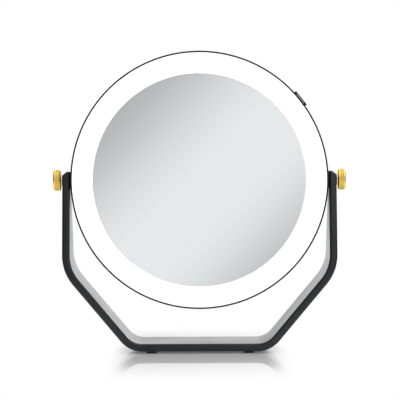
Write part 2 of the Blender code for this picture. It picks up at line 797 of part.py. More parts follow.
def build_switch():
    black = new_material("switch_black", (0.02, 0.02, 0.02), 0.35)
    grey = new_material("rocker_grey", (0.16, 0.16, 0.16), 0.4)
    flange_low = HEAD_R + GAP
    bezel = rim_boxes(
        "switch_bezel",
        SWITCH_ANGLE,
        [
            (
                (flange_low, -SWITCH_WIDTH / 2, -SWITCH_LENGTH / 2),
                (FRAME_TOP_R, SWITCH_WIDTH / 2, SWITCH_LENGTH / 2),
            )
        ],
        black,
    )
    sleeve = rim_boxes(
        "switch_sleeve_cutter",
        SWITCH_ANGLE,
        [
            (
                (flange_low - SLEEVE_DEPTH, -SLEEVE_HALF_W, -SLEEVE_HALF_L),
                (flange_low + SWITCH_PROUD / 2, SLEEVE_HALF_W, SLEEVE_HALF_L),
            )
        ],
        None,
    )
    combine(bezel, sleeve, "UNION")
    well = rim_boxes(
        "switch_well_cutter",
        SWITCH_ANGLE,
        [
            (
                (SWITCH_BODY_IN_R, -ROCKER_HALF_W - GAP, -ROCKER_HALF_L - ROCKER_END_GAP),
                (HEAD_R + HEAD_HALF, ROCKER_HALF_W + GAP, ROCKER_HALF_L + ROCKER_END_GAP),
            )
        ],
        None,
    )
    combine(bezel, well, "DIFFERENCE")
    centre = rim_point(SWITCH_ANGLE, ROCKER_AXIS_R)
    trunnion_bore = turned(
        "trunnion_bore_cutter",
        disc_profile(TRUNNION_R + GAP, -SWITCH_WIDTH, SWITCH_WIDTH),
        HOLE_SEGMENTS,
        None,
        HEAD_AXIS,
        along_y(),
        centre,
    )
    combine(bezel, trunnion_bore, "DIFFERENCE")
    front_y = -SWITCH_WIDTH / 2
    for name, mat, spare in (("strip_pocket_cutter", None, STRIP_GAP), ("indicator_strip", grey, 0)):
        low = (STRIP_LOW_R - spare, front_y - spare, -STRIP_HALF_L - spare)
        high = (STRIP_LOW_R + STRIP_H + spare, front_y + STRIP_T + spare, STRIP_HALF_L + spare)
        strip = rim_boxes(name, SWITCH_ANGLE, [(low, high)], mat)
        if mat is None:
            combine(bezel, strip, "DIFFERENCE")

    rocker_low = flange_low - SLEEVE_DEPTH + 0.0006
    rocker = boxes(
        "dimmer_rocker",
        [
            (
                (rocker_low - ROCKER_AXIS_R, -ROCKER_HALF_W, -ROCKER_HALF_L),
                (HEAD_R + SWITCH_PROUD - ROCKER_AXIS_R, ROCKER_HALF_W, ROCKER_HALF_L),
            )
        ],
        grey,
        DIMMER_AXIS,
        rotation=rim_turn(SWITCH_ANGLE),
    )
    bevelled(rocker, 0.0005)
    trunnion = turned(
        "trunnion_cutter",
        disc_profile(TRUNNION_R, -SLEEVE_HALF_W + GAP, SLEEVE_HALF_W - GAP),
        HOLE_SEGMENTS,
        None,
        DIMMER_AXIS,
        along_y(),
    )
    combine(rocker, trunnion, "UNION")

    body_out = flange_low - SLEEVE_DEPTH - 0.0008
    body = rim_boxes(
        "switch_body",
        SWITCH_ANGLE,
        [
            (
                (SWITCH_BODY_IN_R, -SWITCH_BODY_HALF_Y, -SWITCH_BODY_HALF),
                (body_out, SWITCH_BODY_HALF_Y, SWITCH_BODY_HALF),
            )
        ],
        black,
    )
    bevelled(body, 0.0004, 1)


# ---- leads inside the head ----
LEAD_HOLE_R = 0.0013
PLATE_HOLE_R = 0.0026
REAR_LEAD_HOLE = (0.0100, 0.0640)
SOCKET_LEAD_HOLE = (0.0200, -0.0640)
FRONT_LEAD_ANGLE = math.radians(90)
REAR_LEAD_ANGLE = math.radians(80)


def lead_holes():
    """Holes through the seat walls along the leads, and through the plate."""
    cutters = []
    through_wall = (
        ("front_lead", FRONT_LEAD_ANGLE, -LEAD_Y),
        ("switch_lead", SWITCH_ANGLE, -LEAD_Y),
        ("rear_lead", REAR_LEAD_ANGLE, LEAD_Y),
        ("socket_lead", SOCKET_ANGLE, LEAD_Y),
    )
    wall_cut = disc_profile(LEAD_HOLE_R, SEAT_IN_R - 0.0010, SEAT_OUT_R + 0.0010)
    for name, angle, y in through_wall:
        rotation = (0, math.pi / 2 - angle, 0)
        location = (0, y, 0)
        cutters.append(
            turned(name + "_wall_cutter", wall_cut, HOLE_SEGMENTS, None, HEAD_AXIS, rotation, location)
        )
    plate_cut = disc_profile(PLATE_HOLE_R, -2 * PLATE_HALF, 2 * PLATE_HALF)
    for name, (x, z) in (("rear_lead", REAR_LEAD_HOLE), ("socket_lead", SOCKET_LEAD_HOLE)):
        cutters.append(
            turned(name + "_plate_cutter", plate_cut, HOLE_SEGMENTS, None, HEAD_AXIS, along_y(), (x, 0, z))
        )
    return cutters


def smooth_route(points, spacing=0.0060):
    """Points along a Catmull-Rom curve through the route's own points."""
    route = [Vector(p) for p in points]
    padded = [2 * route[0] - route[1]] + route + [2 * route[-1] - route[-2]]
    line = [route[0]]
    for a, b, c, d in zip(padded, padded[1:], padded[2:], padded[3:]):
        pieces = max(1, min(3, round((c - b).length / spacing)))
        for k in range(1, pieces + 1):
            t = k / pieces
            line.append(
                0.5 * (2 * b + (c - a) * t + (2 * a - 5 * b + 4 * c - d) * t**2)
                + 0.5 * (3 * b - a - 3 * c + d) * t**3
            )
    return line


def lead(name, route, mat):
    line = smooth_route(route)
    curve = bpy.data.curves.new(name + "_route", "CURVE")
    curve.dimensions = "3D"
    curve.bevel_depth = LEAD_R
    curve.bevel_resolution = 2
    curve.use_fill_caps = True
    spline = curve.splines.new("POLY")
    spline.points.add(len(line) - 1)
    for point, place in zip(spline.points, line):
        point.co = (*place, 1)
    smooth(add_part(name, welded_mesh(name, curve), mat, HEAD_AXIS))


def build_leads():
    red = new_material("lead_red", (0.5, 0.03, 0.02), 0.5)
    white = new_material("lead_white", (0.8, 0.8, 0.8), 0.5)
    black = new_material("lead_black", (0.03, 0.03, 0.03), 0.5)
    front = -LEAD_Y
    rear = LEAD_Y
    plug_x = LEAD_PLUG_X
    lead(
        "battery_lead",
        [
            (plug_x, front, BATTERY_HIGH_Z + GAP),
            (plug_x + 0.0015, front, 0.0040),
            (plug_x - 0.0015, front, 0.0150),
            (plug_x, front, CONTROL_LOW_Z - GAP),
        ],
        red,
    )
    led_x = -plug_x
    led_z = CONTROL_HIGH_Z + GAP
    lead(
        "front_led_lead",
        [
            (led_x, front, led_z),
            (led_x, front, led_z + 0.0060),
            (-0.0080, front, 0.0780),
            (0, front, 0.0900),
            (0, front, 0.1000),
            (0, front, LED_R),
        ],
        white,
    )
    hole_x, hole_z = REAR_LEAD_HOLE
    lead(
        "rear_led_lead",
        [
            (0.0100, front, led_z),
            (0.0100, front, hole_z - 0.0060),
            (hole_x, front + 0.0010, hole_z - 0.0015),
            (hole_x, 0, hole_z),
            (hole_x, rear - 0.0010, hole_z + 0.0015),
            (hole_x + 0.0020, rear, hole_z + 0.0070),
            tuple(rim_point(REAR_LEAD_ANGLE, 0.0900, rear)),
            tuple(rim_point(REAR_LEAD_ANGLE, 0.1000, rear)),
            tuple(rim_point(REAR_LEAD_ANGLE, LED_R, rear)),
        ],
        white,
    )
    hole_x, hole_z = SOCKET_LEAD_HOLE
    past_battery = strap_screw_x() + STRAP_TAB
    lead(
        "socket_lead",
        [
            (0, SOCKET_LOW_Y + SOCKET_T / 2, -SOCKET_IN_R + GAP),
            (0, SOCKET_LOW_Y + SOCKET_T / 2 + 0.0002, -0.1108),
            (0, rear, -0.1085),
            (0, rear, -0.1000),
            (0, rear, -0.0940),
            (0.0008, rear, -0.0890),
            (hole_x - 0.0080, rear, hole_z - 0.0080),
            (hole_x - 0.0010, rear - 0.0010, hole_z - 0.0010),
            (hole_x, 0, hole_z),
            (hole_x + 0.0010, front + 0.0010, hole_z + 0.0010),
            (hole_x + 0.0080, front, hole_z + 0.0080),
            (past_battery, front, -0.0200),
            (past_battery, front, 0.0150),
            (0.0340, front, 0.0340),
            (CONTROL_HALF_X + 0.0040, front + 0.0025, 0.0380),
            (CONTROL_HALF_X + GAP, -BOARD_Y - BOARD_T / 2, 0.0380),
        ],
        black,
    )
    lead(
        "switch_lead",
        [
            tuple(rim_point(SWITCH_ANGLE, 0.1150, -SWITCH_BODY_HALF_Y - GAP)),
            tuple(rim_point(SWITCH_ANGLE, 0.1145, -SWITCH_BODY_HALF_Y - 0.0014)),
            tuple(rim_point(SWITCH_ANGLE, 0.1120, front)),
            tuple(rim_point(SWITCH_ANGLE, 0.1040, front)),
            tuple(rim_point(SWITCH_ANGLE, 0.0940, front)),
            (0.0500, front, 0.0520),
            (0.0330, front, 0.0450),
            (CONTROL_HALF_X + 0.0030, front + 0.0020, 0.0440),
            (CONTROL_HALF_X + GAP, -BOARD_Y - BOARD_T / 2, 0.0440),
        ],
        black,
    )


# ---- pivots and knobs ----
KNOB_FACE_T = 0.0020  # solid brass left at the end of the stud's bore
STUD_END_GAP = 0.0018  # the stud stops this far outside the boss's inner end


def build_pivots():
    brass = new_material("knob_brass", BRASS, 0.28, 1.0)
    insert_brass = new_material("insert_brass", (0.65, 0.45, 0.2), 0.4, 1.0)
    steel = new_material("stud_steel", (0.6, 0.6, 0.6), 0.3, 1.0)
    felt = new_material("spacer_black", (0.03, 0.03, 0.03), 0.7)
    bore_end = KNOB_OUTER_X - KNOB_FACE_T
    stud_end = BOSS_IN_X + STUD_END_GAP
    stud_edge = 0.0004
    face_edge = 0.0012
    back_edge = 0.0007
    knob = [
        (0, KNOB_OUTER_X),
        (KNOB_R - face_edge, KNOB_OUTER_X),
        (KNOB_R - face_edge * 0.3, KNOB_OUTER_X - face_edge * 0.3),
        (KNOB_R, KNOB_OUTER_X - face_edge),
        (KNOB_R, KNOB_INNER_X + back_edge),
        (KNOB_R - back_edge, KNOB_INNER_X),
        (SLEEVE_BORE_R, KNOB_INNER_X),
        (SLEEVE_BORE_R, bore_end),
        (0, bore_end),
    ]
    stud = [
        (0, bore_end - GAP),
        (STUD_R, bore_end - GAP),
        (STUD_R, stud_end + stud_edge),
        (STUD_R - stud_edge, stud_end),
        (0, stud_end),
    ]
    insert = ring_profile(SLEEVE_BORE_R, SLEEVE_R, stud_end, BOSS_OUT_X - GAP)
    spacer_out = ARM_X_AT_PIVOT - STRAP_T - GAP
    spacer = ring_profile(SLEEVE_BORE_R, SPACER_R, BOSS_OUT_X + GAP, spacer_out)
    for label, sign in (("left", -1), ("right", 1)):
        axis = KNOB_AXES[label]
        turn = outward(sign)
        smooth(turned("knob_" + label, knob, KNOB_SEGMENTS, brass, axis, turn))
        smooth(turned("stud_" + label, stud, PIN_SEGMENTS, steel, axis, turn))
        ring = {"parent": HEAD_AXIS, "rotation": turn, "closed": True}
        smooth(turned("threaded_insert_" + label, insert, PIN_SEGMENTS, insert_brass, **ring))
        smooth(turned("friction_spacer_" + label, spacer, PIN_SEGMENTS, felt, **ring))


# ---- assembly ----
clear_scene()
PARTS = new_collection("lighted_vanity_mirror")
CUTTERS = new_collection("cutters")
HEAD_AXIS = new_axis("head_axis", (0, 0, PIVOT_Z))
KNOB_AXES = {side: new_axis("knob_axis_" + side, (0, 0, 0), HEAD_AXIS) for side in ("left", "right")}
DIMMER_AXIS = new_axis("dimmer_axis", rim_point(SWITCH_ANGLE, ROCKER_AXIS_R), HEAD_AXIS)

SWITCH_SLOT = rim_boxes(
    "switch_slot_cutter",
    SWITCH_ANGLE,
    [
        (
            (SWITCH_BODY_IN_R, -SLEEVE_HALF_W - GAP, -SLEEVE_HALF_L - GAP),
            (HEAD_R + HEAD_HALF, SLEEVE_HALF_W + GAP, SLEEVE_HALF_L + GAP),
        )
    ],
    None,
)
SWITCH_NOTCH = rim_boxes(
    "switch_notch_cutter",
    SWITCH_ANGLE,
    [
        (
            (SWITCH_BODY_IN_R - GAP, -HEAD_HALF, -SLEEVE_HALF_L - GAP),
            (HEAD_R + HEAD_HALF, HEAD_HALF, SLEEVE_HALF_L + GAP),
        )
    ],
    None,
)
SOCKET_SLOT = rim_boxes(
    "socket_slot_cutter",
    SOCKET_ANGLE,
    [
        (
            (SOCKET_IN_R, SOCKET_LOW_Y - GAP, -SOCKET_HALF_W - GAP),
            (HEAD_R + HEAD_HALF, SOCKET_LOW_Y + SOCKET_T + GAP, SOCKET_HALF_W + GAP),
        )
    ],
    None,
)
SOCKET_NOTCH = rim_boxes(
    "socket_notch_cutter",
    SOCKET_ANGLE,
    [
        (
            (LED_R + 0.0003, -HEAD_HALF, -SOCKET_HALF_W - GAP),
            (HEAD_R + HEAD_HALF, HEAD_HALF, SOCKET_HALF_W + GAP),
        )
    ],
    None,
)

build_stand()
build_rim()
build_optics()
build_chassis()
build_led_boards()
build_screws()
build_battery()
build_control_board()
build_socket()
build_switch()
build_leads()
build_pivots()
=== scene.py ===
"""Looks of the two-sided lighted vanity mirror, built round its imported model.

Metres, +Z up, front towards -Y. Sizes come from the frame's own boxes and from the named
dimensions below.
"""
import math

import bmesh
import bpy
from mathutils import Matrix, Vector


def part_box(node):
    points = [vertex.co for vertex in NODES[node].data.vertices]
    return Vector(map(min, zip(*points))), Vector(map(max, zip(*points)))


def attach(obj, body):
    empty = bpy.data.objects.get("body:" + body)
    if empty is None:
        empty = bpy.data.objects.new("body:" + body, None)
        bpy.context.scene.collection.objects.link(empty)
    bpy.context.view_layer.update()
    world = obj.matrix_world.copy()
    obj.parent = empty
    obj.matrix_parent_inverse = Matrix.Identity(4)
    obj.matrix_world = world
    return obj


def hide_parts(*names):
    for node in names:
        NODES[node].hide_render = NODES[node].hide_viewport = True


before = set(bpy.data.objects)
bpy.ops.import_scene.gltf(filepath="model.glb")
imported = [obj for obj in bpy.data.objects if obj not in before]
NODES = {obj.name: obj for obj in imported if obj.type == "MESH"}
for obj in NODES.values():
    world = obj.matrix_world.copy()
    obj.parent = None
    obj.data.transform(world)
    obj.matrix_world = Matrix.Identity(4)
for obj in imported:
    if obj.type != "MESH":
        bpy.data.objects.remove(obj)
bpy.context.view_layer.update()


# ---- sizes read from the frame ----
def low(node, axis):
    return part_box(node)[0][axis]


def high(node, axis):
    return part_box(node)[1][axis]


def half_span(node, axis):
    return (high(node, axis) - low(node, axis)) / 2


def centre_of(node, axis):
    return (high(node, axis) + low(node, axis)) / 2


def radial_span(node):
    """Where a piece on the tilt axis begins and ends, as distances from the head's middle."""
    return sorted((abs(low(node, 0)), abs(high(node, 0))))


RIM_R = half_span("rim_hoop", 0)
RIM_HALF = half_span("rim_hoop", 1)
PIVOT = Vector((0, 0, centre_of("rim_hoop", 2)))
GLASS_R = high("front_mirror", 0)
GLASS_FRONT = -low("front_mirror", 1)
GLASS_BACK = -high("front_mirror", 1)
LENS_R = high("front_diffuser", 0)
LENS_FACE = -low("front_diffuser", 1)
LENS_SKIRT = -high("front_diffuser", 1)
HOLLOW_BACK = low("rear_mirror", 1)
STAND_HALF_DEPTH = high("stand_frame", 1)
STAND_LOW = low("stand_frame", 2)
STAND_TOP = high("stand_frame", 2)
KNOB_IN = low("knob_right", 0)
KNOB_OUT = high("knob_right", 0)
KNOB_R = half_span("knob_right", 1)
FEET = ["foot_%s_%s" % (depth, side) for depth in ("front", "rear") for side in ("left", "right")]

# ---- sizes that the frame's boxes don't give ----
GAP = 0.0003
TINY = 1e-6
ON_AXIS = 1e-7  # a lathe's point this near its axis is one point
# Edges that turn by more than these angles, in degrees, are drawn sharp, or are rounded.
SHARP_ANGLE = 35
STRAP_SHARP_ANGLE = 40
KNOB_SHARP_ANGLE = 50
SOFTEN_ANGLE = 38
ROCKER_EDGE_ANGLE = 60
LENS_T = 0.0026
LENS_IN_R = GLASS_R + 0.0004
LENS_SKIRT_R = 0.1033
REAR_GLASS_T = 0.0025
RIM_LIP = 0.0012
RIM_WALL = 0.0024
RIM_RIB = 0.0021
RIM_RIB_Y = 0.0015
RIM_RIB_T = 0.0015
SPACER_R = 0.0086
SLEEVE_R = 0.0035
STUD_BORE_R = 0.0028
WASHER_R = 0.0057
HOLE_OUT_R = RIM_R + 0.0120  # the cutters of the pivots' holes reach past the walls
ARM_BORE_IN_R = RIM_R - 0.0060
RIM_HOLE_OUT_R = RIM_R + 0.0040
RIM_HOLE_IN_R = RIM_R - 0.0120
RING_SEGMENTS = 288
RIM_SEGMENTS = 360
HOLE_SEGMENTS = 48
RIM_HOLE_SEGMENTS = 64
WASHER_SEGMENTS = 72
TRUNNION_SEGMENTS = 24
GLASS_EDGE_R = 0.0003
HOLLOW_STEPS = 40
LENS_EDGE_R = 0.0003
RIM_EDGE_R = 0.00015
RIM_LIP_EDGE_R = 0.00012
RIM_RIB_EDGE_R = 0.0003
# A flat ring's rounding: outer corner far from the head, outer corner near it, inner corner far from it.
WASHER_EDGES = (0.0002, 0.0002, 0)
SPACER_EDGES = (0.0003, 0, 0.0002)

STRAP_T = 0.0073
LOWER_CORNER_X = 0.0667
UPPER_CORNER_X = 0.1297
DIAGONAL_FROM_VERTICAL = math.radians(40.0)
LOWER_BEND_R = 0.0270
UPPER_BEND_R = 0.0450
ARM_X_AT_PIVOT = 0.1308
ARM_TIP_HALF = 0.0066
ARM_TIP_R = 0.0022
ARM_SHOULDER_R = 0.0300
ARM_CORNER_DX = 0.0040
ARM_CORNER_DZ = 0.0034
STRAP_EDGE_R = 0.0020
STRAP_LEAST_R = 0.0002
STRAP_EDGE_SHARE = 0.42  # the most that an edge's radius takes of the strap's thickness
TIP_EDGE_SHARE = 0.6  # and of half its depth
STRAP_CORNER_STEPS = 8
STRAP_MERGE = 0.000002  # corners of the strap's mesh nearer than this become one
BEND_STEPS = 40
TIP_STEPS = 26
TIP_SPAN = 0.0042  # the stretch below an arm's tip with the closest stations
SHORT_STEP = 0.0040  # stations nearer than this need none between them
STRAIGHT_STEPS = 12
SHANK_STEPS = 14
SIDE_STEPS = 24
SHARP_BREAK = 0.00035

FOOT_TOP_R = 0.0002
FOOT_EDGE_R = 0.0006
FOOT_GROOVE_RADII = (0.0034, 0.0022)
FOOT_GROOVE = ((0.0003, 0), (0.0002, 0.00025), (-0.0002, 0.00025), (-0.0003, 0))  # its section

SWITCH_ANGLE = math.radians(38.6)
SOCKET_ANGLE = math.radians(-90)
SLOT_IN_R = RIM_R - 0.0103
SLOT_OUT_R = RIM_R + 0.0060
SLOT_EDGE_R = 0.0006
SOCKET_SLOT_R = 0.0012
SWITCH_SLOT_HALF = (0.0038, 0.00775)  # across and along the rim, as for the boxes below
SWITCH_PROUD = 0.0024
FLANGE_HALF = (0.0040, 0.0083)
FLANGE_RADII = (RIM_R + GAP, RIM_R + SWITCH_PROUD - 0.0002)
FLANGE_EDGE_R = 0.00025
SKIRT_HALF = (0.0035, 0.00745)
SKIRT_RADII = (RIM_R + GAP - 0.0040, RIM_R + 0.0011)
WELL_HALF = (0.00255, 0.0069)
WELL_RADII = (SLOT_IN_R, RIM_R + 0.0140)
WELL_EDGE_R = 0.0006
ROCKER_HALF = (0.00225, 0.0064)
ROCKER_BOTTOM_R = RIM_R - 0.0031
ROCKER_DISH = 0.0006
ROCKER_DISH_STEPS = 16
ROCKER_END = 0.0002  # the raised ends stand this far below the crown
ROCKER_EDGE_R = 0.0003
ROCKER_AXIS_R = RIM_R - 0.0010
TRUNNION_R = 0.0007
TRUNNION_HALF = 0.0032
TRUNNION_BORE_R = 0.0010
TRUNNION_BORE_HALF = 0.0080
STRIP_LOW_R = RIM_R + 0.0004
STRIP_H = 0.0008
STRIP_HALF_L = 0.0056
STRIP_T = 0.0006
STRIP_SPARE = 0.0001
STRIP_EDGE_R = 0.00015

KNOB_FACE_EDGE_R = 0.0012
KNOB_FACE_DISH = 0.0003
KNOB_DISH_RADII = (0.0020, 0.0040, 0.0062)
KNOB_RIM_IN = (0.0068, 0.00005)  # the raised edge's foot: radius and depth below the face
KNOB_RIM_R = 0.0072
KNOB_ARC_STEPS = 6
KNOB_BACK_EDGE = 0.0007
KNOB_PLAIN_BACK = 0.0005
KNOB_GROOVE = 0.00022  # the plain edge by the knurl is sunk by this, and by a share of it at its end
KNOB_GROOVE_W = 0.0004
KNOB_GROOVE_SHARE = 0.4
KNOB_BORE_END = 0.0020
KNURL_IN = KNOB_IN + KNOB_BACK_EDGE + KNOB_PLAIN_BACK
KNURL_OUT = KNOB_OUT - KNOB_FACE_EDGE_R - KNOB_FACE_DISH
KNURLS = 72
KNURL_SEGMENTS = KNURLS * 5
KNURL_ROWS = 30
KNURL_DEPTH = 0.00022
KNURL_WIDTH = 2.2  # the larger, the narrower the grooves between the knurl's points
KNURL_FADE = 8  # the grooves reach full depth at one part in this many of the band from each edge
KNURL_TONE = 0.6  # how far a groove takes the darker colour

# ---- studio ----
EYE = Vector((0.0009, -1.95, PIVOT.z + 0.0304))
EYE_PITCH = math.radians(1.46)
EYE_ROLL = math.radians(0.24)
EYE_LENS_MM = 183.4
EYE_SHIFT_X = -0.0006
EYE_SENSOR_MM = 36.0
EYE_CLIP = (0.05, 50)

FLOOR_REACH = 6.0
FLOOR_SPLIT_Y = -0.5
FLOOR_IOR = 1.15
FLOOR_GLOW = 0.14
# The table fades to plain white between these distances: beside, ahead of and behind the object.
WHITE_BESIDE = (0.058, 0.087)
WHITE_AHEAD = (-0.30, -0.10)
WHITE_BEHIND = (0.12, 0.25)
SHEEN_AHEAD = (-0.27, -0.12)

# The card's middle is about where the eye sees the glass's middle mirrored; the band crosses it.
CARD_HALF = 2.4
CARD_Y = -3.0
CARD_Z = PIVOT.z - 0.0455
CARD_TURN = math.radians(-45)
CARD_SPAN = 0.50
CARD_STOPS = [(-0.315, 0.465), (0.0, 0.885), (0.085, 0.885), (0.365, 0.48)]  # (distance, level)
CARD_TINT = (0.988, 1.0, 1.012)
# Panels beside the band: where each begins, where it is at its full level, and that level.
CARD_PANELS = [(-0.275, -0.300, 0.50), (0.330, 0.345, 1.10), (0.55, 0.85, 0.52)]

FLAG_X = 0.8
FLAG_FRONT = -0.35
FLAG_BACK = 0.4
FLAG_HIGH = 0.8
FLAG_LEVEL = 0.03

# The sky's level follows the direction looked in; these are the limits of its changes and its levels.
SKY_DEPTH = (0.1, 0.9)  # Y: from the camera's side to the far side
SKY_ACROSS = (-0.06, 0.06)  # X: from left to right
SKY_NEAR = (0.36, 1.90)  # levels left and right on the camera's side
SKY_FAR = (0.94, 1.12)  # levels left and right on the far side
SKY_ABOVE = (0.25, 1.0, 0.0, 0.1)  # Z: two limits, and what is added at each
SKY_SIDES = (0.45, 0.85, 1.0, 0.22)  # X to either side: two limits, and the factor at each

TOP_LIGHT_AT = (0.15, 0.45, 1.6)
TOP_LIGHT_AIM = (0, -0.05, 0)
TOP_LIGHT_SIZE = 1.0
TOP_LIGHT_WATTS = 14


# ---- mesh helpers ----
def new_piece(name, bm, sharp=SHARP_ANGLE):
    bmesh.ops.recalc_face_normals(bm, faces=bm.faces)
    mesh = bpy.data.meshes.new(name)
    bm.to_mesh(mesh)
    bm.free()
    mesh.shade_smooth()
    mesh.set_sharp_from_angle(angle=math.radians(sharp))
    obj = bpy.data.objects.new(name, mesh)
    bpy.context.scene.collection.objects.link(obj)
    return obj


def settle_normals(obj):
    """Broad flat faces keep their own direction, and the turn is left to the rounded edges."""
    mod = obj.modifiers.new("normals", "WEIGHTED_NORMAL")
    mod.mode = "FACE_AREA"
    mod.weight = 50
    mod.keep_sharp = True


def place(obj, body, node, mat):
    """The piece rides on a body, stands for a CAD node and takes its slot."""
    settle_normals(obj)
    obj.data.materials.clear()
    obj.data.materials.append(mat)
    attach(obj, body)
    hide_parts(node)
    return obj


def rounded(points, closed, steps=4):
    """Corners (x, y, radius) as a line whose corners with a radius are arcs."""
    line = []
    count = len(points)
    for i, (x, y, radius) in enumerate(points):
        here = Vector((x, y))
        if radius <= 0 or (not closed and i in (0, count - 1)):
            line.append(here)
            continue
        before = (Vector(points[i - 1][:2]) - here).normalized()
        after = (Vector(points[(i + 1) % count][:2]) - here).normalized()
        half = before.angle(after) / 2
        reach = radius / math.tan(half)
        centre = here + (before + after).normalized() * (radius / math.sin(half))
        start = here + before * reach - centre
        end = here + after * reach - centre
        turn = start.angle_signed(end)
        for k in range(steps + 1):
            arm = start.copy()
            arm.rotate(Matrix.Rotation(-turn * k / steps, 2))
            line.append(centre + arm)
    return line


def along_y(side=1):
    """Local Z laid along +Y or -Y, about the head's axis."""
    return Matrix.Translation(PIVOT) @ Matrix.Rotation(-side * math.pi / 2, 4, "X")


def along_x(side):
    """Local Z laid outward along +X or -X, about the tilt axis."""
    return Matrix.Translation(PIVOT) @ Matrix.Rotation(side * math.pi / 2, 4, "Y")


def rim_frame(angle):
    """Local X along the rim's radius, local Y along the head's axis, local Z along the rim."""
    return Matrix.Translation(PIVOT) @ Matrix.Rotation(-angle, 4, "Y")


def lathe_bmesh(line, segments, closed):
    """(radius, height) points turned about local Z."""
    bm = bmesh.new()
    rings = []
    for r, z in line:
        if r < ON_AXIS:
            rings.append([bm.verts.new((0, 0, z))])
            continue
        ring = []
        for k in range(segments):
            angle = 2 * math.pi * k / segments
            ring.append(bm.verts.new((r * math.cos(angle), r * math.sin(angle), z)))
        rings.append(ring)
    pairs = list(zip(rings, rings[1:]))
    if closed:
        pairs.append((rings[-1], rings[0]))
    for a, b in pairs:
        for k in range(segments):
            n = (k + 1) % segments
            if len(a) == 1 and len(b) == 1:
                continue
            if len(a) == 1:
                bm.faces.new((a[0], b[k], b[n]))
            elif len(b) == 1:
                bm.faces.new((a[k], b[0], a[n]))
            else:
                bm.faces.new((a[k], b[k], b[n], a[n]))
    return bm


def lathe(name, line, segments, matrix, closed=False):
    bm = lathe_bmesh(line, segments, closed)
    bm.transform(matrix)
    return new_piece(name, bm)


def plug(name, radius, near, far, segments, matrix):
    """A cylinder on local Z from near to far: a pin, or what cuts a hole."""
    return lathe(name, [(0, far), (radius, far), (radius, near), (0, near)], segments, matrix)


def rounded_box(name, lows, highs, radius, matrix=Matrix(), steps=3):
    bm = bmesh.new()
    lows, highs = Vector(lows), Vector(highs)
    size = Matrix.Diagonal((*(highs - lows), 1))
    bmesh.ops.create_cube(bm, size=1, matrix=Matrix.Translation((lows + highs) / 2) @ size)
    if radius > 0:
        bmesh.ops.bevel(
            bm, geom=list(bm.edges), offset=radius, segments=steps, affect="EDGES", profile=0.5
        )
    bm.transform(matrix)
    return new_piece(name, bm)


def rim_box(name, radii, across, along, radius, angle, steps=3):
    """A box in the rim's frame, between two radii and between the limits across and along the rim."""
    lows = (radii[0], across[0], along[0])
    highs = (radii[1], across[1], along[1])
    return rounded_box(name, lows, highs, radius, rim_frame(angle), steps)


def both_ways(half):
    return -half, half


def combine(obj, others, operation="DIFFERENCE"):
    """Applies a Boolean with each of the others, and removes them."""
    for other in others:
        mod = obj.modifiers.new("cut", "BOOLEAN")
        mod.operation = operation
        mod.solver = "EXACT"
        mod.object = other
    graph = bpy.context.evaluated_depsgraph_get()
    mesh = bpy.data.meshes.new_from_object(obj.evaluated_get(graph))
    obj.modifiers.clear()
    obj.data = mesh
    mesh.shade_smooth()
    mesh.set_sharp_from_angle(angle=math.radians(SHARP_ANGLE))
    for other in others:
        bpy.data.objects.remove(other)


def soften(obj, width):
    """Breaks every corner that is still sharp."""
    mod = obj.modifiers.new("corners", "BEVEL")
    mod.width = width
    mod.segments = 3
    mod.limit_method = "ANGLE"
    mod.angle_limit = math.radians(SOFTEN_ANGLE)


# ---- materials ----
class Tree:
    """Short ways to add and link nodes."""

    def __init__(self, tree):
        self.tree = tree

    def add(self, kind, **inputs):
        node = self.tree.nodes.new(kind)
        for key, value in inputs.items():
            node.inputs[key.replace("_", " ")].default_value = value
        return node

    def link(self, out, to):
        self.tree.links.new(out, to)

    def parts(self, vector):
        """A vector's X, Y and Z."""
        node = self.add("ShaderNodeSeparateXYZ")
        self.link(vector, node.inputs[0])
        return node.outputs

    def remap(self, value, low_in, high_in, low_out=0.0, high_out=1.0, smooth=False):
        node = self.add("ShaderNodeMapRange")
        if smooth:
            node.interpolation_type = "SMOOTHSTEP"
        self.link(value, node.inputs["Value"])
        node.inputs["From Min"].default_value = low_in
        node.inputs["From Max"].default_value = high_in
        node.inputs["To Min"].default_value = low_out
        node.inputs["To Max"].default_value = high_out
        return node.outputs["Result"]

    def math(self, operation, a, b):
        node = self.add("ShaderNodeMath")
        node.operation = operation
        for socket, value in zip(node.inputs, (a, b)):
            if isinstance(value, (int, float)):
                socket.default_value = value
            else:
                self.link(value, socket)
        return node.outputs[0]

    def ramp(self, value, stops):
        node = self.add("ShaderNodeValToRGB")
        elements = node.color_ramp.elements
        while len(elements) < len(stops):
            elements.new(0.5)
        for element, (position, colour) in zip(elements, stops):
            element.position = position
            element.color = (*colour, 1.0)
        self.link(value, node.inputs["Fac"])
        return node.outputs["Color"]

    def blend(self, amount, a, b):
        node = self.add("ShaderNodeMix")
        node.data_type = "RGBA"
        for index, value in ((0, amount), (6, a), (7, b)):
            if isinstance(value, tuple):
                node.inputs[index].default_value = (*value, 1.0)
            elif isinstance(value, float):
                node.inputs[index].default_value = value
            else:
                self.link(value, node.inputs[index])
        return node.outputs[2]

    def mix_shaders(self, amount, a, b):
        node = self.add("ShaderNodeMixShader")
        for socket, value in zip(node.inputs, (amount, a, b)):
            self.link(value, socket)
        return node.outputs[0]


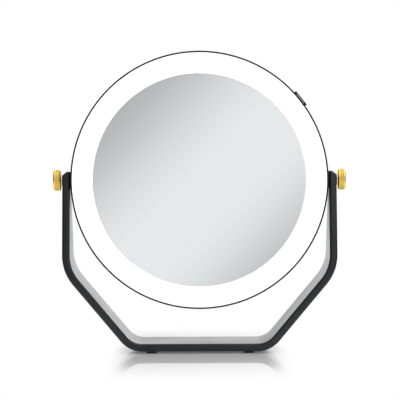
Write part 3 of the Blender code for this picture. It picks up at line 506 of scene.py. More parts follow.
class Nodes(Tree):
    """A node material round one Principled shader."""

    def __init__(self, name):
        self.mat = bpy.data.materials.new(name)
        self.mat.use_nodes = True
        super().__init__(self.mat.node_tree)
        self.shader = self.tree.nodes["Principled BSDF"]
        self.coords = self.add("ShaderNodeTexCoord").outputs["Object"]

    def set(self, **inputs):
        for key, value in inputs.items():
            self.shader.inputs[key.replace("_", " ")].default_value = value

    def stretched(self, scale, rotation=(0, 0, 0)):
        mapping = self.add("ShaderNodeMapping", Scale=scale, Rotation=rotation)
        self.link(self.coords, mapping.inputs["Vector"])
        return mapping.outputs["Vector"]

    def noise(self, scale, detail=4.0, roughness=0.55, vector=None, distortion=0.0):
        node = self.add(
            "ShaderNodeTexNoise",
            Scale=scale,
            Detail=detail,
            Roughness=roughness,
            Distortion=distortion,
        )
        self.link(vector or self.coords, node.inputs["Vector"])
        return node.outputs["Fac"]

    def bump(self, height, distance, strength=1.0, after=None):
        node = self.add("ShaderNodeBump", Strength=strength, Distance=distance)
        self.link(height, node.inputs["Height"])
        if after is not None:
            self.link(after, node.inputs["Normal"])
        return node.outputs["Normal"]

    def to(self, socket, value):
        self.link(value, self.shader.inputs[socket])


def shade(colour, factor):
    return tuple(min(1.0, c * factor) for c in colour)


def moulded(name, colour, roughness, grain=1400.0, depth=0.000012, spread=0.12, vary=0.06, **more):
    """A moulded, coated or printed surface: cloudy colour, uneven gloss, fine grain, light wear."""
    n = Nodes(name)
    cloud = n.noise(28.0, 5.0)
    rub = n.noise(190.0, 6.0, 0.7)
    base = n.ramp(cloud, [(0.30, shade(colour, 1 - vary)), (0.70, shade(colour, 1 + vary))])
    worn = n.remap(rub, 0.62, 0.78, 0.0, 0.25)
    n.to("Base Color", n.blend(worn, base, shade(colour, 1.25)))
    n.to("Roughness", n.remap(rub, 0.3, 0.7, roughness * (1 - spread), roughness * (1 + spread)))
    n.to("Normal", n.bump(n.noise(grain, 3.0), depth))
    n.set(**more)
    return n.mat


def metal(name, colour, roughness, stretch=(60.0, 60.0, 2400.0), depth=0.000010, tarnish=0.25):
    """Brushed or plated metal: fine lines, darker tarnish in patches, uneven gloss."""
    n = Nodes(name)
    lines = n.noise(1.0, 4.0, 0.6, n.stretched(stretch))
    patch = n.noise(120.0, 5.0, 0.6)
    spots = n.remap(patch, 0.50, 0.74, 0.0, tarnish)
    n.to("Base Color", n.blend(spots, colour, shade(colour, 0.55)))
    n.to("Roughness", n.remap(lines, 0.3, 0.7, roughness * 0.75, roughness * 1.3))
    n.to("Normal", n.bump(lines, depth))
    n.set(Metallic=1.0)
    return n.mat


def stand_coat():
    """Black satin-gloss coat: faint orange peel, fine grain, patches of other gloss, light scuffs."""
    n = Nodes("stand_coat")
    peel = n.noise(420.0, 2.0, 0.5)
    fine = n.noise(2600.0, 3.0)
    cloud = n.noise(22.0, 5.0)
    scuff = n.noise(1.0, 3.0, 0.6, n.stretched((900.0, 60.0, 900.0)))
    dark, light = (0.0040, 0.0048, 0.0072), (0.0088, 0.0097, 0.0130)
    base = n.ramp(cloud, [(0.30, dark), (0.72, light)])
    worn = n.remap(scuff, 0.66, 0.80, 0.0, 0.5)
    n.to("Base Color", n.blend(worn, base, (0.024, 0.025, 0.029)))
    n.to("Roughness", n.remap(cloud, 0.3, 0.7, 0.17, 0.25))
    normal = n.bump(peel, 0.000010)
    n.to("Normal", n.bump(fine, 0.000003, after=normal))
    n.set(IOR=1.46)
    return n.mat


def opal_lens():
    """Opal acrylic lit from behind: a nearly even glow that varies slowly, on a finely uneven face."""
    n = Nodes("opal_lens")
    glow = n.noise(60.0, 3.0)
    n.to("Emission Strength", n.remap(glow, 0.3, 0.7, 0.50, 0.54))
    n.to("Base Color", n.ramp(glow, [(0.3, (0.93, 0.93, 0.92)), (0.7, (0.97, 0.97, 0.96))]))
    fine = n.noise(1800.0, 2.0)
    n.to("Roughness", n.remap(fine, 0.3, 0.7, 0.24, 0.34))
    n.to("Normal", n.bump(fine, 0.000003))
    n.set(Emission_Color=(1.0, 1.0, 1.0, 1.0))
    return n.mat


def silvered_glass(name):
    """Mirror glass: clean, with the faintest uneven polish and a few dust specks."""
    n = Nodes(name)
    smear = n.noise(18.0, 4.0, 0.6, distortion=1.5)
    dust = n.noise(900.0, 2.0)
    clear, dusty = (0.905, 0.915, 0.920), (0.86, 0.87, 0.87)
    n.to("Base Color", n.blend(n.remap(dust, 0.74, 0.80, 0.0, 0.5), clear, dusty))
    n.to("Roughness", n.remap(smear, 0.35, 0.75, 0.012, 0.030))
    n.to("Normal", n.bump(smear, 0.0000004))
    n.set(Metallic=1.0)
    return n.mat


def knurled_brass():
    """Satin brass: turned lines on the face, darker lacquer in the knurl's hollows."""
    n = Nodes("knob_brass")
    patch = n.noise(260.0, 5.0, 0.65)
    fine = n.noise(1.0, 4.0, 0.6, n.stretched((5200.0, 500.0, 500.0)))
    hollow = n.add("ShaderNodeAttribute")
    hollow.attribute_name = "hollow"
    rich, pale, dark = (0.90, 0.60, 0.10), (0.98, 0.71, 0.20), (0.46, 0.28, 0.035)
    base = n.ramp(patch, [(0.32, rich), (0.66, pale)])
    n.to("Base Color", n.blend(hollow.outputs["Fac"], base, dark))
    n.to("Roughness", n.remap(patch, 0.3, 0.7, 0.20, 0.34))
    n.to("Normal", n.bump(fine, 0.000006))
    n.set(Metallic=1.0)
    return n.mat


def printed_board(name, colour, track):
    """Solder mask with a faint pattern of tracks under it."""
    n = Nodes(name)
    brick = n.add("ShaderNodeTexBrick", Scale=220.0, Mortar_Size=0.03)
    n.link(n.coords, brick.inputs["Vector"])
    cloud = n.noise(300.0, 3.0)
    base = n.ramp(cloud, [(0.3, shade(colour, 0.9)), (0.7, shade(colour, 1.1))])
    n.to("Base Color", n.blend(brick.outputs["Fac"], base, track))
    n.to("Roughness", n.remap(cloud, 0.3, 0.7, 0.35, 0.5))
    n.to("Normal", n.bump(brick.outputs["Fac"], 0.00002))
    return n.mat


# ---- stand ----
def filleted(corners, radii, steps):
    """Points and left-hand normals along a polyline whose inner corners are rounded."""
    corners = [Vector(c) for c in corners]
    line = []
    for i, here in enumerate(corners):
        if i in (0, len(corners) - 1):
            heading = (corners[1] - here if i == 0 else here - corners[i - 1]).normalized()
            line.append((here, Vector((-heading.y, heading.x))))
            continue
        before = (here - corners[i - 1]).normalized()
        after = (corners[i + 1] - here).normalized()
        turn = -before.angle_signed(after)
        radius = radii[i - 1]
        normal = Vector((-before.y, before.x))
        centre = here - before * radius * math.tan(abs(turn) / 2) + normal * radius
        for k in range(steps + 1):
            inward = normal.copy()
            inward.rotate(Matrix.Rotation(turn * k / steps, 2))
            line.append((centre - inward * radius, inward))
    return line


def upper_corner_z():
    return STAND_LOW + (UPPER_CORNER_X - LOWER_CORNER_X) / math.tan(DIAGONAL_FROM_VERTICAL)


def strap_line():
    """Stations (point, inward normal) down the left arm, along the base and up the right arm."""
    lean = (ARM_X_AT_PIVOT - UPPER_CORNER_X) / (PIVOT.z - upper_corner_z())
    top_x = ARM_X_AT_PIVOT + lean * (STAND_TOP - PIVOT.z)
    right = [(LOWER_CORNER_X, STAND_LOW), (UPPER_CORNER_X, upper_corner_z()), (top_x, STAND_TOP)]
    corners = [(-x, z) for x, z in reversed(right)] + right
    return filleted(corners, [UPPER_BEND_R, LOWER_BEND_R, LOWER_BEND_R, UPPER_BEND_R], BEND_STEPS)


def strap_stations():
    """The line's stations with more along the straights, and closest together at the arms' tips."""
    line = strap_line()
    dense = []
    for a, b in zip(line, line[1:]):
        dense.append(a)
        length = (b[0] - a[0]).length
        if length < SHORT_STEP:
            continue
        shares = [k / STRAIGHT_STEPS for k in range(1, STRAIGHT_STEPS)]
        if a is line[0] or b is line[-1]:
            near = TIP_SPAN / length
            shares = [near * k / TIP_STEPS for k in range(1, TIP_STEPS + 1)]
            shares += [near + (1 - near) * k / SHANK_STEPS for k in range(1, SHANK_STEPS)]
        if b is line[-1]:
            shares = [1 - s for s in reversed(shares)]
        dense += [(a[0].lerp(b[0], s), a[1].lerp(b[1], s).normalized()) for s in shares]
    dense.append(line[-1])
    return dense


def depth_line():
    """The stand's side view: (half depth, height) up to the middle of an arm's narrow top."""
    side = [(STAND_HALF_DEPTH, 0), (STAND_HALF_DEPTH, upper_corner_z()), (ARM_TIP_HALF, STAND_TOP)]
    points = [*side, (0, STAND_TOP)]
    return [p for p, _ in filleted(points, [ARM_SHOULDER_R, ARM_TIP_R], SIDE_STEPS)]


def half_depth(outline, z):
    """Half the stand's depth at a height, read from its side view."""
    for low_end, high_end in zip(outline, outline[1:]):
        if low_end.y <= z < high_end.y:
            share = (z - low_end.y) / (high_end.y - low_end.y)
            return low_end.x + (high_end.x - low_end.x) * share
    return outline[-2].x if z >= STAND_TOP else STAND_HALF_DEPTH


def strap_section(outline, point, inward):
    """The strap's section at a station: a rectangle with four round corners."""
    drop = STAND_TOP - point.y
    cut = ARM_CORNER_DX * max(0.0, 1 - drop / ARM_CORNER_DZ)
    middle = half_depth(outline, point.y + inward.y * STRAP_T / 2)
    by_depth = max(STRAP_LEAST_R, middle * TIP_EDGE_SHARE)
    radius = min(STRAP_EDGE_R, (STRAP_T - cut) * STRAP_EDGE_SHARE, by_depth)
    section = []
    for corner in range(4):
        outer_side = corner in (0, 3)
        y_side = -1 if corner in (0, 1) else 1
        for k in range(STRAP_CORNER_STEPS + 1):
            # The arcs run from the outer front corner round by the inner ones.
            angle = math.pi / 2 * (corner + k / STRAP_CORNER_STEPS)
            along = -math.cos(angle) * radius
            across = -math.sin(angle) * radius
            depth_in = (cut + radius + along) if outer_side else (STRAP_T - radius + along)
            place_xz = point + inward * depth_in
            edge = max(STRAP_LEAST_R, half_depth(outline, place_xz.y))
            section.append((place_xz.x, y_side * max(0.0, edge - radius) + across, place_xz.y))
    return section


def build_stand(mat):
    outline = depth_line()
    bm = bmesh.new()
    loops = []
    for point, inward in strap_stations():
        loops.append([bm.verts.new(spot) for spot in strap_section(outline, point, inward)])
    for a, b in zip(loops, loops[1:]):
        for k in range(len(a)):
            n = (k + 1) % len(a)
            bm.faces.new((a[k], a[n], b[n], b[k]))
    bm.faces.new(loops[0])
    bm.faces.new(loops[-1])
    bmesh.ops.remove_doubles(bm, verts=bm.verts, dist=STRAP_MERGE)
    strap = new_piece("strap_stand", bm, STRAP_SHARP_ANGLE)

    cutters = []
    for side in (-1, 1):
        reach = ARM_BORE_IN_R, HOLE_OUT_R
        cutters.append(plug("arm_bore", SLEEVE_R + GAP, *reach, HOLE_SEGMENTS, along_x(side)))
    for node in FEET:
        reach = -GAP, high(node, 2) + GAP
        radius = half_span(node, 0) + GAP
        cutters.append(plug("recess", radius, *reach, HOLE_SEGMENTS, foot_place(node)))
    combine(strap, cutters)
    soften(strap, SHARP_BREAK)
    return place(strap, "stand", "stand_frame", mat)


def foot_place(node):
    return Matrix.Translation((centre_of(node, 0), centre_of(node, 1), 0))


def build_feet(mat):
    """Round rubber feet with two shallow grip grooves round the underside."""
    for node in FEET:
        radius = half_span(node, 0)
        top = high(node, 2)
        corners = [(0, top, 0), (radius, top, FOOT_TOP_R), (radius, 0, FOOT_EDGE_R), (0, 0, 0)]
        *line, base = rounded(corners, False)
        for r in FOOT_GROOVE_RADII:
            line += [Vector((r + dr, dz)) for dr, dz in FOOT_GROOVE]
        foot = lathe("pad_" + node, [*line, base], HOLE_SEGMENTS, foot_place(node))
        place(foot, "stand", node, mat)


# ---- head ----
def rim_cutters():
    """What cuts the rim's holes: one for each spacer, the switch's slot and the socket's."""
    cutters = []
    for side in (-1, 1):
        reach = RIM_HOLE_IN_R, RIM_HOLE_OUT_R
        cutters.append(plug("rim_hole", SPACER_R + GAP, *reach, RIM_HOLE_SEGMENTS, along_x(side)))
    radii = SLOT_IN_R, SLOT_OUT_R
    across, along = (both_ways(half) for half in SWITCH_SLOT_HALF)
    cutters.append(rim_box("switch_slot", radii, across, along, SLOT_EDGE_R, SWITCH_ANGLE))
    across = low("charge_socket", 1) - GAP, high("charge_socket", 1) + GAP
    along = both_ways(half_span("charge_socket", 0) + GAP)
    cutters.append(rim_box("socket_slot", radii, across, along, SOCKET_SLOT_R, SOCKET_ANGLE, 5))
    return cutters


def build_rim(mat):
    inner = RIM_R - RIM_WALL
    rebate = RIM_R - RIM_LIP
    shoulder = LENS_FACE - LENS_T - GAP
    corners = [
        (RIM_R, RIM_HALF, RIM_EDGE_R),
        (RIM_R, -RIM_HALF, RIM_EDGE_R),
        (rebate, -RIM_HALF, RIM_LIP_EDGE_R),
        (rebate, -shoulder, 0),
        (inner, -shoulder, 0),
        (inner, RIM_RIB_Y, 0),
        (inner - RIM_RIB, RIM_RIB_Y, RIM_RIB_EDGE_R),
        (inner - RIM_RIB, RIM_RIB_Y + RIM_RIB_T, RIM_RIB_EDGE_R),
        (inner, RIM_RIB_Y + RIM_RIB_T, 0),
        (inner, shoulder, 0),
        (rebate, shoulder, 0),
        (rebate, RIM_HALF, RIM_LIP_EDGE_R),
    ]
    hoop = lathe("rim_band", rounded(corners, True), RIM_SEGMENTS, along_y(), closed=True)
    combine(hoop, rim_cutters())
    return place(hoop, "head", "rim_hoop", mat)


def build_lenses(mat):
    for node, side in (("front_diffuser", -1), ("rear_diffuser", 1)):
        corners = [
            (LENS_R, LENS_FACE, LENS_EDGE_R),
            (LENS_R, LENS_FACE - LENS_T, 0),
            (LENS_SKIRT_R, LENS_FACE - LENS_T, LENS_EDGE_R),
            (LENS_SKIRT_R, LENS_SKIRT, 0),
            (LENS_IN_R, LENS_SKIRT, 0),
            (LENS_IN_R, LENS_FACE, LENS_EDGE_R),
        ]
        line = rounded(corners, True)
        ring = lathe("opal_" + node, line, RING_SEGMENTS, along_y(side), closed=True)
        place(ring, "head", node, mat)


def build_glasses(front_mat, rear_mat):
    inside = GLASS_R - 2 * GLASS_EDGE_R
    flat = [(0, GLASS_FRONT, 0), (inside, GLASS_FRONT, 0), (GLASS_R, GLASS_FRONT, GLASS_EDGE_R)]
    flat += [(GLASS_R, GLASS_BACK, GLASS_EDGE_R), (inside, GLASS_BACK, 0), (0, GLASS_BACK, 0)]
    glass = lathe("flat_glass", rounded(flat, False), RING_SEGMENTS, along_y(-1))
    place(glass, "head", "front_mirror", front_mat)

    face = high("rear_mirror", 1)
    sag = face - HOLLOW_BACK - REAR_GLASS_T
    sphere = (GLASS_R**2 + sag**2) / (2 * sag)
    radii = [GLASS_R * k / HOLLOW_STEPS for k in range(HOLLOW_STEPS + 1)]
    hollow = [(r, face - sag + sphere - math.sqrt(sphere**2 - r**2)) for r in radii]
    behind = [(r, y - REAR_GLASS_T) for r, y in reversed(hollow)]
    rear = lathe("magnifying_glass", hollow + behind, RING_SEGMENTS, along_y(1))
    place(rear, "head", "rear_mirror", rear_mat)


def trunnion(name, radius, half):
    """A cylinder on the rocker's axis."""
    across = Matrix.Translation((ROCKER_AXIS_R, 0, 0)) @ Matrix.Rotation(-math.pi / 2, 4, "X")
    return plug(name, radius, -half, half, TRUNNION_SEGMENTS, rim_frame(SWITCH_ANGLE) @ across)


def switch_strip(name, spare, radius):
    """The pale grey strip let into the bezel's front face, a painted highlight along that face, or with
    spare room the pocket for it.
    """
    front = -FLANGE_HALF[0]
    radii = STRIP_LOW_R - spare, STRIP_LOW_R + STRIP_H + spare
    across = front - spare, front + STRIP_T + spare
    return rim_box(name, radii, across, both_ways(STRIP_HALF_L + spare), radius, SWITCH_ANGLE)


def rocker_bmesh():
    """A rocker with a shallow dish along the rim between two raised ends."""
    crown = RIM_R + SWITCH_PROUD
    half_w, half_l = ROCKER_HALF
    side = [(-half_l, ROCKER_BOTTOM_R), (half_l, ROCKER_BOTTOM_R), (half_l, crown - ROCKER_END)]
    for k in range(ROCKER_DISH_STEPS + 1):
        t = 1 - 2 * k / ROCKER_DISH_STEPS
        side.append((t * (half_l - ROCKER_EDGE_R), crown - ROCKER_DISH * (1 - t * t)))
    side.append((-half_l, crown - ROCKER_END))
    bm = bmesh.new()
    face = bm.faces.new([bm.verts.new((r, -half_w, z)) for z, r in side])
    moved = bmesh.ops.extrude_face_region(bm, geom=[face])
    new_verts = [v for v in moved["geom"] if isinstance(v, bmesh.types.BMVert)]
    bmesh.ops.translate(bm, verts=new_verts, vec=(0, 2 * half_w, 0))
    bmesh.ops.recalc_face_normals(bm, faces=bm.faces)
    inner = [e for e in bm.edges if len(e.link_faces) == 2]
    rims = [e for e in inner if e.calc_face_angle() > math.radians(ROCKER_EDGE_ANGLE)]
    bmesh.ops.bevel(bm, geom=rims, offset=ROCKER_EDGE_R, segments=3, affect="EDGES", profile=0.5)
    bm.transform(rim_frame(SWITCH_ANGLE))
    return bm


def build_switch(frame_mat, rocker_mat, painted_highlight_mat):
    across, along = (both_ways(half) for half in FLANGE_HALF)
    flange = rim_box("switch_frame", FLANGE_RADII, across, along, FLANGE_EDGE_R, SWITCH_ANGLE, 4)
    across, along = (both_ways(half) for half in SKIRT_HALF)
    skirt = rim_box("skirt", SKIRT_RADII, across, along, 0, SWITCH_ANGLE)
    combine(flange, [skirt], "UNION")
    across, along = (both_ways(half) for half in WELL_HALF)
    well = rim_box("well", WELL_RADII, across, along, WELL_EDGE_R, SWITCH_ANGLE, 4)
    bore = trunnion("trunnion_bore", TRUNNION_BORE_R, TRUNNION_BORE_HALF)
    combine(flange, [well, bore, switch_strip("pocket", STRIP_SPARE, 0)])
    place(flange, "head", "switch_bezel", frame_mat)

    # The strip's pale grey colour is a painted highlight along the bezel's front wall.
    strip = switch_strip("painted_highlight_strip", 0, STRIP_EDGE_R)
    place(strip, "head", "indicator_strip", painted_highlight_mat)

    rocker = new_piece("rocker_key", rocker_bmesh())
    combine(rocker, [trunnion("pin", TRUNNION_R, TRUNNION_HALF)], "UNION")
    place(rocker, "dimmer", "dimmer_rocker", rocker_mat)


# ---- knobs and pivots ----
def knob_line():
    """The knob's half section from the middle of its face to the end of the stud's bore."""
    dished = KNOB_OUT - KNOB_FACE_DISH
    line = [(r, dished) for r in (0, *KNOB_DISH_RADII)]
    line += [(KNOB_RIM_IN[0], KNOB_OUT - KNOB_RIM_IN[1]), (KNOB_RIM_R, KNOB_OUT)]
    for k in range(KNOB_ARC_STEPS + 1):
        a = math.pi / 2 * k / KNOB_ARC_STEPS
        r = KNOB_R - KNOB_FACE_EDGE_R + KNOB_FACE_EDGE_R * math.sin(a)
        line.append((r, KNOB_OUT - KNOB_FACE_EDGE_R + KNOB_FACE_EDGE_R * math.cos(a)))
    for k in range(KNURL_ROWS + 1):
        line.append((KNOB_R, KNURL_OUT + (KNURL_IN - KNURL_OUT) * k / KNURL_ROWS))
    back = KNOB_IN + KNOB_BACK_EDGE
    line += [
        (KNOB_R - KNOB_GROOVE, back + KNOB_GROOVE_W),
        (KNOB_R - KNOB_GROOVE * KNOB_GROOVE_SHARE, back),
        (KNOB_R - KNOB_BACK_EDGE, KNOB_IN),
        (STUD_BORE_R, KNOB_IN),
        (STUD_BORE_R, KNOB_OUT - KNOB_BORE_END),
        (0, KNOB_OUT - KNOB_BORE_END),
    ]
    return line


def knurl(r, z, angle):
    """How deep the crossed grooves are at a place, from 0 to 1: none outside the knurled band."""
    if r < KNOB_R - TINY or not KNURL_IN - TINY <= z <= KNURL_OUT + TINY:
        return 0.0
    share = (z - KNURL_IN) / (KNURL_OUT - KNURL_IN)
    fade = min(1.0, KNURL_FADE * share, KNURL_FADE * (1 - share))
    u = angle / (2 * math.pi) * KNURLS
    v = (z - KNURL_IN) / (2 * math.pi * KNOB_R) * KNURLS
    a = abs(2 * ((u + v) % 1.0) - 1)
    b = abs(2 * ((u - v) % 1.0) - 1)
    return fade * max(0.0, 1 - KNURL_WIDTH * min(1 - a, 1 - b))


def knob_bmesh():
    """A turned knob with a dished face, whose rim is diamond knurled between two plain edges."""
    bm = lathe_bmesh(knob_line(), KNURL_SEGMENTS, False)
    layer = bm.verts.layers.float.new("hollow")
    for vert in bm.verts:
        r = vert.co.xy.length
        angle = math.atan2(vert.co.y, vert.co.x) % (2 * math.pi)
        sink = knurl(r, vert.co.z, angle)
        vert[layer] = sink * KNURL_TONE
        if sink > 0:
            vert.co.xy *= (r - sink * KNURL_DEPTH) / r
    return bm


def ring_on_axis(name, node, radius, edges, side):
    """A flat ring on the tilt axis, as long as its node; edges gives three corners' radii."""
    inner, outer = radial_span(node)
    corners = [
        (radius, outer, edges[0]),
        (radius, inner, edges[1]),
        (STUD_BORE_R, inner, 0),
        (STUD_BORE_R, outer, edges[2]),
    ]
    line = rounded(corners, True)
    return lathe(name, line, WASHER_SEGMENTS, along_x(side), closed=True)


def build_pivots(brass, washer_mat, spacer_mat):
    for label, side in (("left", -1), ("right", 1)):
        bm = knob_bmesh()
        bm.transform(along_x(side))
        knob = new_piece("thumb_knob_" + label, bm, KNOB_SHARP_ANGLE)
        place(knob, "knob_" + label, "knob_" + label, brass)

        node = "knob_washer_" + label
        washer = ring_on_axis("washer_" + label, node, WASHER_R, WASHER_EDGES, side)
        place(washer, "stand", node, washer_mat)

        node = "friction_spacer_" + label
        spacer = ring_on_axis("spacer_" + label, node, SPACER_R, SPACER_EDGES, side)
        place(spacer, "head", node, spacer_mat)


# ---- the pieces inside, kept as the CAD made them ----
def dress_inner_nodes():
    white_lead = moulded("lead_white", (0.78, 0.78, 0.77), 0.45, 2200.0)
    black_lead = moulded("lead_black", (0.025, 0.025, 0.026), 0.42, 2200.0)
    screw = metal("screw_steel", (0.58, 0.58, 0.59), 0.32)
    nylon = moulded("bushing_nylon", (0.74, 0.71, 0.64), 0.48)
    stud = metal("stud_steel", (0.60, 0.60, 0.61), 0.28, (2400.0, 60.0, 60.0))
    insert = metal("insert_brass", (0.70, 0.48, 0.20), 0.35, (2400.0, 60.0, 60.0))
    foam = moulded("pad_foam", (0.68, 0.68, 0.67), 0.9, 900.0, 0.00010, 0.05)
    led_board = printed_board("led_board", (0.80, 0.80, 0.77), (0.72, 0.73, 0.72))
    looks = {
        "arm_bushing_left": nylon,
        "arm_bushing_right": nylon,
        "battery_lead": moulded("lead_red", (0.45, 0.03, 0.02), 0.45, 2200.0),
        "battery_pack": moulded("battery_film", (0.07, 0.13, 0.22), 0.30, 300.0, 0.00006),
        "battery_strap": metal("strap_steel", (0.62, 0.62, 0.63), 0.35, (2400.0, 60.0, 60.0)),
        "board_screw_left": screw,
        "board_screw_right": screw,
        "strap_screw_left": screw,
        "strap_screw_right": screw,
        "charge_socket": metal("socket_shell", (0.62, 0.62, 0.64), 0.25, (60.0, 60.0, 1800.0)),
        "chassis_plate": moulded("chassis_moulding", (0.84, 0.84, 0.83), 0.45, 700.0, 0.00002),
        "control_board": printed_board("control_board_mask", (0.02, 0.13, 0.05), (0.04, 0.22, 0.09)),
        "front_led_board": led_board,
        "rear_led_board": led_board,
        "front_led_lead": white_lead,
        "rear_led_lead": white_lead,
        "front_mirror_pad": foam,
        "rear_mirror_pad": foam,
        "socket_lead": black_lead,
        "switch_lead": black_lead,
        "stud_left": stud,
        "stud_right": stud,
        "switch_body": moulded("switch_block", (0.03, 0.03, 0.032), 0.5),
        "threaded_insert_left": insert,
        "threaded_insert_right": insert,
    }
    for node, mat in looks.items():
        obj = NODES[node]
        if not obj.material_slots:
            obj.data.materials.append(mat)
        for slot in obj.material_slots:
            slot.material = mat


# ---- building the studio ----
def floor_material():
    """White board, glossy and softly shaded beside the object, and burnt out to white away from it."""
    n = Nodes("studio_floor")
    n.set(Base_Color=(0.57, 0.57, 0.57, 1.0), Roughness=0.5, Specular_IOR_Level=0.0)
    n.set(Emission_Color=(1.0, 1.0, 1.0, 1.0), Emission_Strength=FLOOR_GLOW)
    x, y, _ = n.parts(n.coords)
    beside = n.remap(n.math("ABSOLUTE", x, 0.0), *WHITE_BESIDE, 1.0, 0.0, smooth=True)
    ahead = n.remap(y, *WHITE_AHEAD, smooth=True)
    behind = n.remap(y, *WHITE_BEHIND, 1.0, 0.0, smooth=True)
    near = n.math("MULTIPLY", beside, n.math("MULTIPLY", ahead, behind))
    gloss = n.add("ShaderNodeBsdfGlossy", Roughness=0.02)
    gloss.distribution = "MULTI_GGX"
    fresnel = n.add("ShaderNodeFresnel", IOR=FLOOR_IOR)
    sheen = n.math("MULTIPLY", fresnel.outputs["Fac"], n.remap(y, *SHEEN_AHEAD, smooth=True))
    table = n.mix_shaders(sheen, n.shader.outputs[0], gloss.outputs[0])
    white = n.add("ShaderNodeEmission", Color=(1.0, 1.0, 1.0, 1.0), Strength=1.0)
    faded = n.mix_shaders(near, white.outputs[0], table)
    n.link(faded, n.tree.nodes["Material Output"].inputs["Surface"])
    return n.mat


def sheet(name, segments, matrix):
    """A flat grid, one metre square before the matrix."""
    bm = bmesh.new()
    bmesh.ops.create_grid(bm, x_segments=segments, y_segments=segments, size=0.5)
    bm.transform(matrix)
    return new_piece(name, bm)


def floor_part(name, y0, y1, mat):
    spread = Matrix.Diagonal((2 * FLOOR_REACH, y1 - y0, 1, 1))
    floor = sheet(name, 12, Matrix.Translation((0, (y0 + y1) / 2, 0)) @ spread)
    floor.data.materials.append(mat)
    return floor


def build_floor():
    """A table top in two parts; the far front part isn't seen in reflections."""
    mat = floor_material()
    floor_part("studio_floor", FLOOR_SPLIT_Y, FLOOR_REACH, mat)
    front = floor_part("studio_floor_front", -FLOOR_REACH, FLOOR_SPLIT_Y, mat)
    front.visible_glossy = False


def glowing(name):
    """A material that only emits: the material, its tree and the socket for its colour."""
    mat = bpy.data.materials.new(name)
    mat.use_nodes = True
    nodes = mat.node_tree.nodes
    nodes.remove(nodes["Principled BSDF"])
    tree = Tree(mat.node_tree)
    glow = tree.add("ShaderNodeEmission")
    tree.link(glow.outputs[0], nodes["Material Output"].inputs["Surface"])
    return mat, tree, glow.inputs["Color"]


def only_reflected(obj, mat):
    """Stage furniture that shows in reflections alone."""
    obj.data.materials.append(mat)
    obj.visible_camera = False
    obj.visible_diffuse = False
    obj.visible_shadow = False


def build_card():
    """A large card behind the camera, seen only in reflections, with a soft diagonal light band."""
    upright = Matrix.Rotation(math.pi / 2, 4, "X")
    card = sheet("studio_card", 8, upright @ Matrix.Diagonal((2 * CARD_HALF, 2 * CARD_HALF, 1, 1)))
    card.location = (0, CARD_Y, CARD_Z)
    mat, tree, socket = glowing("studio_card")
    coords = tree.add("ShaderNodeTexCoord").outputs["Object"]
    mapping = tree.add("ShaderNodeMapping", Rotation=(0, CARD_TURN, 0))
    tree.link(coords, mapping.inputs["Vector"])
    along = tree.remap(tree.parts(mapping.outputs["Vector"])["X"], -CARD_SPAN, CARD_SPAN)
    stops = []
    for distance, level in CARD_STOPS:
        stops.append((0.5 + distance / (2 * CARD_SPAN), tuple(level * t for t in CARD_TINT)))
    colour = tree.ramp(along, stops)
    colour.node.color_ramp.interpolation = "EASE"
    x = tree.parts(coords)["X"]
    for near, far, level in CARD_PANELS:
        colour = tree.blend(tree.remap(x, near, far), colour, (level, level, level))
    tree.link(colour, socket)
    only_reflected(card, mat)


def build_flags():
    """Two dark panels beside the object, seen only in reflections; they draw its dark edges."""
    mat, _, socket = glowing("studio_flag")
    socket.default_value = (FLAG_LEVEL, FLAG_LEVEL, FLAG_LEVEL, 1.0)
    upright = Matrix.Rotation(math.pi / 2, 4, "Y")
    spread = Matrix.Diagonal((FLAG_HIGH, FLAG_BACK - FLAG_FRONT, 1, 1))
    for label, side in (("left", -1), ("right", 1)):
        middle = Matrix.Translation((side * FLAG_X, (FLAG_FRONT + FLAG_BACK) / 2, FLAG_HIGH / 2))
        only_reflected(sheet("studio_flag_" + label, 4, middle @ upright @ spread), mat)


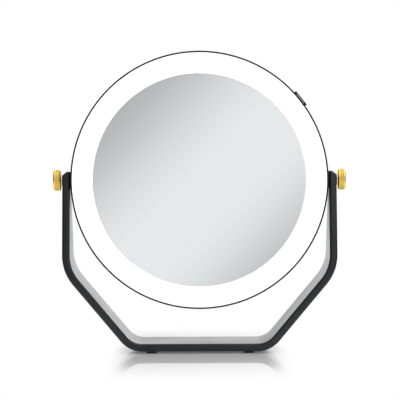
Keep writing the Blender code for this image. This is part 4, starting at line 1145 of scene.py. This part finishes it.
def build_world():
    """White to the camera; for lighting, dim at the front left, strong at the front right, and
    darker towards both sides."""
    world = bpy.data.worlds.new("studio")
    bpy.context.scene.world = world
    world.use_nodes = True
    tree = Tree(world.node_tree)
    x, y, z = tree.parts(tree.add("ShaderNodeTexCoord").outputs["Generated"])
    level = tree.remap(y, *SKY_DEPTH, smooth=True)
    for socket, sides in (("To Min", SKY_NEAR), ("To Max", SKY_FAR)):
        tree.link(tree.remap(x, *SKY_ACROSS, *sides, smooth=True), level.node.inputs[socket])
    level = tree.math("ADD", level, tree.remap(z, *SKY_ABOVE, smooth=True))
    shaded = tree.remap(tree.math("ABSOLUTE", x, 0.0), *SKY_SIDES, smooth=True)
    lit = world.node_tree.nodes["Background"]
    lit.inputs["Color"].default_value = (1.0, 1.0, 1.0, 1.0)
    tree.link(tree.math("MULTIPLY", level, shaded), lit.inputs["Strength"])
    plain = tree.add("ShaderNodeBackground", Color=(1.0, 1.0, 1.0, 1.0))
    path = tree.add("ShaderNodeLightPath")
    sky = tree.mix_shaders(path.outputs["Is Camera Ray"], lit.outputs[0], plain.outputs[0])
    tree.link(sky, world.node_tree.nodes["World Output"].inputs["Surface"])


def add_softbox(name, place_at, aim, size, energy):
    """A round area light that isn't itself mirrored in the object."""
    light = bpy.data.lights.new(name, "AREA")
    light.shape = "DISK"
    light.size = size
    light.energy = energy
    obj = bpy.data.objects.new(name, light)
    obj.location = place_at
    obj.rotation_euler = (Vector(aim) - Vector(place_at)).to_track_quat("-Z", "Y").to_euler()
    obj.visible_glossy = False
    bpy.context.scene.collection.objects.link(obj)


def build_camera():
    """Eye a little above the head's middle, nearly two metres in front."""
    data = bpy.data.cameras.new("camera")
    data.sensor_width = EYE_SENSOR_MM
    data.lens = EYE_LENS_MM
    data.shift_x = EYE_SHIFT_X
    data.clip_start, data.clip_end = EYE_CLIP
    camera = bpy.data.objects.new("camera", data)
    camera.location = EYE
    camera.rotation_euler = (math.pi / 2 - EYE_PITCH, EYE_ROLL, 0)
    bpy.context.scene.collection.objects.link(camera)
    bpy.context.scene.camera = camera


# ---- assembly ----
build_camera()
build_stand(stand_coat())
build_feet(moulded("foot_rubber", (0.018, 0.018, 0.018), 0.75, 900.0, 0.00003))
build_rim(moulded("rim_gloss", (0.007, 0.007, 0.008), 0.22, 1500.0, 0.000006, IOR=1.36))
build_lenses(opal_lens())
build_glasses(silvered_glass("front_silver"), silvered_glass("rear_silver"))
build_switch(
    moulded("switch_satin", (0.007, 0.007, 0.007), 0.34, IOR=1.40),
    moulded("rocker_satin", (0.030, 0.030, 0.032), 0.42),
    # pale grey: a painted highlight on the bezel's front wall
    moulded("strip_painted_highlight", (0.42, 0.42, 0.42), 0.30),
)
build_pivots(
    knurled_brass(),
    metal("washer_polish", (0.97, 0.88, 0.70), 0.14, (2400.0, 90.0, 90.0), tarnish=0.12),
    moulded("spacer_rubber", (0.02, 0.02, 0.02), 0.6, 900.0, 0.00003),
)
dress_inner_nodes()

bpy.context.scene.view_settings.view_transform = "Standard"
build_world()
build_floor()
build_card()
build_flags()
add_softbox("top_light", TOP_LIGHT_AT, TOP_LIGHT_AIM, TOP_LIGHT_SIZE, TOP_LIGHT_WATTS)
